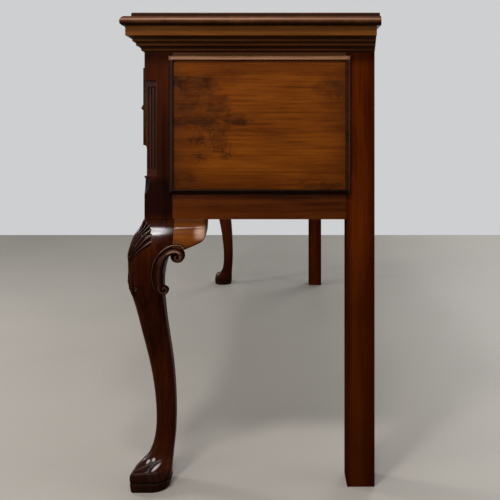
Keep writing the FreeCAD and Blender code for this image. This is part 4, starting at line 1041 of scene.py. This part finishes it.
def block_shell():
    """Knee block beside the leg: rounded outer face, curved lower edge, flat top and back."""
    down = np.linspace(0, 1, 64)
    lip = np.clip((down - 0.92) / 0.08, 0, 1)
    top = np.clip((0.03 - down) / 0.03, 0, 1)
    ring_marks = np.concatenate([0.3 * top - 0.25 * lip, [0.3, 0.3, 0.3]])
    rings = []
    for v, low in even_path(BLOCK_EDGE, 70):
        z = BLOCK_TOP + (low - BLOCK_TOP) * down
        beside = np.full(len(z), v)
        x = block_out(beside, z) - 1.6 * lip ** 2 - 0.7 * top ** 2
        back_low = min(low + 6.0, BLOCK_TOP - 0.5)
        under = (x[-1] - 3.0, v, low + 0.3 * (BLOCK_TOP - low) / 48.0)
        back = [under, (BLOCK_BACK, v, back_low), (BLOCK_BACK, v, BLOCK_TOP)]
        rings.append(np.concatenate([np.column_stack([x, beside, z]), back]))
    return grid_shell(rings, [ring_marks] * len(rings))


leg_shells = [cabriole_shell(), post_shell()]
scroll_parts = scroll_shells()
block_parts = [block_shell()]
for side, left in (("right", False), ("left", True)):
    leg = build("carved_leg_" + side, placed(leg_shells, False, left), CARVED_WOOD, smooth_turn=42.0)
    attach(leg, "carcase")
    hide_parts("front_leg_" + side)
    for face, turned in (("side", False), ("front", True)):
        where = "%s_%s" % (face, side)
        shells = placed(block_parts, turned, left)
        block = build("carved_knee_block_" + where, shells, BLOCK_WOOD[face], smooth_turn=40.0)
        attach(block, "carcase")
        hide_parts("knee_block_" + where)
        shells = placed(scroll_parts, turned, left)
        scroll = build("knee_scroll_" + where, shells, CARVED_WOOD, smooth_turn=50.0)
        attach(scroll, "carcase")


# Boards and mouldings

MOULD_PROFILE = [  # in from the outer edge, out from the frame
    (0.0, 0.0), (0.0, 3.5), (0.25, 4.2), (0.8, 4.8), (2.0, 5.6), (3.4, 6.35), (4.8, 7.0), (6.1, 7.6),
    (6.9, 7.85), (7.3, 7.6), (7.5, 6.8), (7.7, 5.6), (8.0, 4.9), (8.0, 0.0)]
MOULD_FRAME = (-137.25, 164.75, 488.0, 718.5)  # outer edges: front, back, low, high
MITRE_GAP = 0.015  # keeps each strip's end clear of the next


def panel_moulding_shells():
    """Four mitred strips whose rounded outer slope climbs to a ridge close beside the panel."""
    y0, y1, z0, z1 = MOULD_FRAME
    inset, out = np.array(MOULD_PROFILE).T
    corners = [(y0, z0), (y1, z0), (y1, z1), (y0, z1)]
    shells = []
    for start, end in zip(corners, corners[1:] + corners[:1]):
        ahead = np.array([0.0, np.sign(end[0] - start[0]), np.sign(end[1] - start[1])])
        rings = []
        for (y, z), gap in ((start, MITRE_GAP), (end, -MITRE_GAP)):
            to_y = 1 if y == y0 else -1
            to_z = 1 if z == z0 else -1
            rings.append(np.column_stack([HALF + out, y + to_y * inset, z + to_z * inset]) + ahead * gap)
        shells.append(grid_shell(rings))
    return shells


CARCASE_BOARDS = (  # nodes, material, slot, width of the softened arris
    (("top_board",), TOP_WOOD, "top_mahogany", 0.5),
    (("cornice_front",), MOULDING_X, "moulding_mahogany", 0.35),
    (("cornice_left", "cornice_right"), MOULDING_Y, "moulding_mahogany", 0.35),
    (("rear_leg_left", "rear_leg_right"), STILE_WOOD, "frame_mahogany", 1.3),
    (("side_head_rail_left", "side_head_rail_right"), END_RAIL_WOOD, "frame_mahogany", 0.6),
    (("side_foot_rail_left", "side_foot_rail_right"), END_RAIL_WOOD, "frame_mahogany", 0.6),
    (("side_panel_left", "side_panel_right"), PANEL_WOOD, "panel_mahogany", 0.8),
    (("front_head_rail",), FRONT_RAIL_WOOD, "frame_mahogany", 0.6),
    (("front_apron",), FRONT_RAIL_WOOD, "frame_mahogany", 0.8),
    (("drawer_divider_left", "drawer_divider_right"), DIVIDER_WOOD, "frame_mahogany", 0.5),
    (("back_head_rail", "back_foot_rail"), BACK_OAK, "back_oak", 0.3),
    (("back_board",), BACK_OAK, "back_oak", 0.5),
    (("drawer_runners", "drawer_kickers", "drawer_guides"), LINING_Y, "lining_oak", 0.6),
    (("top_buttons",), LINING_Y, "lining_oak", 0.8))
for nodes, material, slot, width in CARCASE_BOARDS:
    for node in nodes:
        worn_copy(node, material, "carcase", width)

for side, flip in (("right", 1), ("left", -1)):
    shells = [(points * (flip, 1, 1), faces, marks) for points, faces, marks in panel_moulding_shells()]
    strips = build("mitred_panel_moulding_" + side, shells, PANEL_MOULD, smooth_turn=40.0)
    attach(strips, "carcase")
    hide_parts("panel_moulding_" + side)


def dress(node, material):
    """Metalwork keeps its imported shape."""
    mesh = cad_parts[node].data
    for i in range(len(mesh.materials)):
        mesh.materials[i] = material
    if not mesh.materials:
        mesh.materials.append(material)


DRAWER_BOARDS = (
    ("_front", DRAWER_WOOD, "drawer_mahogany", 0.5), ("_side_left", LINING_Y, "lining_oak", 0.6),
    ("_side_right", LINING_Y, "lining_oak", 0.6), ("_back", LINING_X, "lining_oak", 0.6),
    ("_bottom", LINING_X, "lining_oak", 0.4))
for drawer in ("drawer_left", "drawer_middle", "drawer_right"):
    for part, material, slot, width in DRAWER_BOARDS:
        worn_copy(drawer + part, material, drawer, width)
    for part in ("_roses", "_posts", "_bail_left", "_bail_right"):
        dress(drawer + part, OLD_BRASS)
dress("top_screws", SCREW_STEEL)


# Floor, light and camera

def seen_directly(n):
    """1 for what the eye sees, straight or in a reflection, and 0 for what lights the piece."""
    rays = n.add("LightPath").outputs
    return n.larger(rays["Is Camera Ray"], rays["Is Glossy Ray"], rays["Is Transmission Ray"])


def floor_paint():
    """Pale floor to the eye and in reflections, darker as a source of light from below."""
    material, n, shader, place = new_material("studio_floor_paint")
    cloud = n.span(n.noise(place, 2.0, 3.0), 0.3, 0.7)
    pale = n.mix(n.times(cloud, 0.4), rgb(136, 130, 122), rgb(122, 116, 108))
    n.put(shader["Base Color"], n.mix(seen_directly(n), (0.13, 0.12, 0.115, 1), pale))
    shader["Roughness"].default_value = 0.6
    return material


FLOOR_X = (-1.833, 5.0)
FLOOR_Y = 4.5
floor_mesh = bpy.data.meshes.new("studio_floor")
floor_corners = [(FLOOR_X[0], -FLOOR_Y), (FLOOR_X[1], -FLOOR_Y), (FLOOR_X[1], FLOOR_Y), (FLOOR_X[0], FLOOR_Y)]
floor_mesh.from_pydata([(x, y, 0) for x, y in floor_corners], [], [(0, 1, 2, 3)])
floor_mesh.materials.append(floor_paint())
floor = new_object("studio_floor", floor_mesh)

world = bpy.data.worlds.new("studio")
bpy.context.scene.world = world
world.use_nodes = True
backdrop = Nodes(world.node_tree)
lighting = world.node_tree.nodes["Background"]
seen = backdrop.add("Background")
for node, color, strength in ((lighting, (0.92, 0.96, 1.0, 1), 0.4), (seen, rgb(206, 207, 208), 1.0)):
    node.inputs["Color"].default_value = color
    node.inputs["Strength"].default_value = strength
choices = seen_directly(backdrop), lighting.outputs[0], seen.outputs[0]
surface = world.node_tree.nodes["World Output"].inputs["Surface"]
backdrop.put(surface, backdrop.fill(backdrop.add("MixShader"), choices))

SOFTBOXES = (  # name, place, target, size, power
    ("low_fill", (2.2, -2.0, 0.8), (0.2, 0.0, 0.35), (1.4, 0.9), 34),
    ("end_sparkle", (1.62, -0.46, 2.12), (0.73, -0.12, 0.45), (0.24, 0.30), 27),
    ("end_spark_back", (1.60, 0.02, 2.15), (0.73, -0.08, 0.45), (0.20, 0.24), 14),
    ("front_light", (-0.4, -2.8, 1.5), (0.0, -0.1, 0.45), (1.8, 1.0), 26),
    ("front_sparkle", (0.05, -1.5, 1.25), (0.6, -0.15, 0.2), (0.24, 0.24), 13),
    ("far_light", (-2.6, 1.8, 1.6), (-0.2, 0.1, 0.4), (1.4, 1.0), 38),
    ("back_fill", (0.9, 2.5, 0.7), (-0.7, 0.0, 0.15), (1.4, 0.9), 30))
for name, place, target, size, power in SOFTBOXES:
    light = bpy.data.lights.new(name, "AREA")
    light.shape = "RECTANGLE"
    light.size, light.size_y = size
    light.energy = power
    lamp = new_object(name, light)
    lamp.location = place
    lamp.rotation_euler = (Vector(target) - Vector(place)).to_track_quat("-Z", "Y").to_euler()

EYE = (1.832, 0.0463, 0.6017)
camera_data = bpy.data.cameras.new("photo_camera")
camera_data.lens = 47.8
camera_data.sensor_width = 36.0
camera_data.shift_x = -0.058
camera_data.shift_y = -0.248
camera_data.clip_start = 0.05
camera = new_object("photo_camera", camera_data)
camera.location = EYE
camera.rotation_euler = (math.radians(90), 0, math.radians(90))
bpy.context.scene.camera = camera
bpy.context.scene.view_settings.view_transform = "Standard"
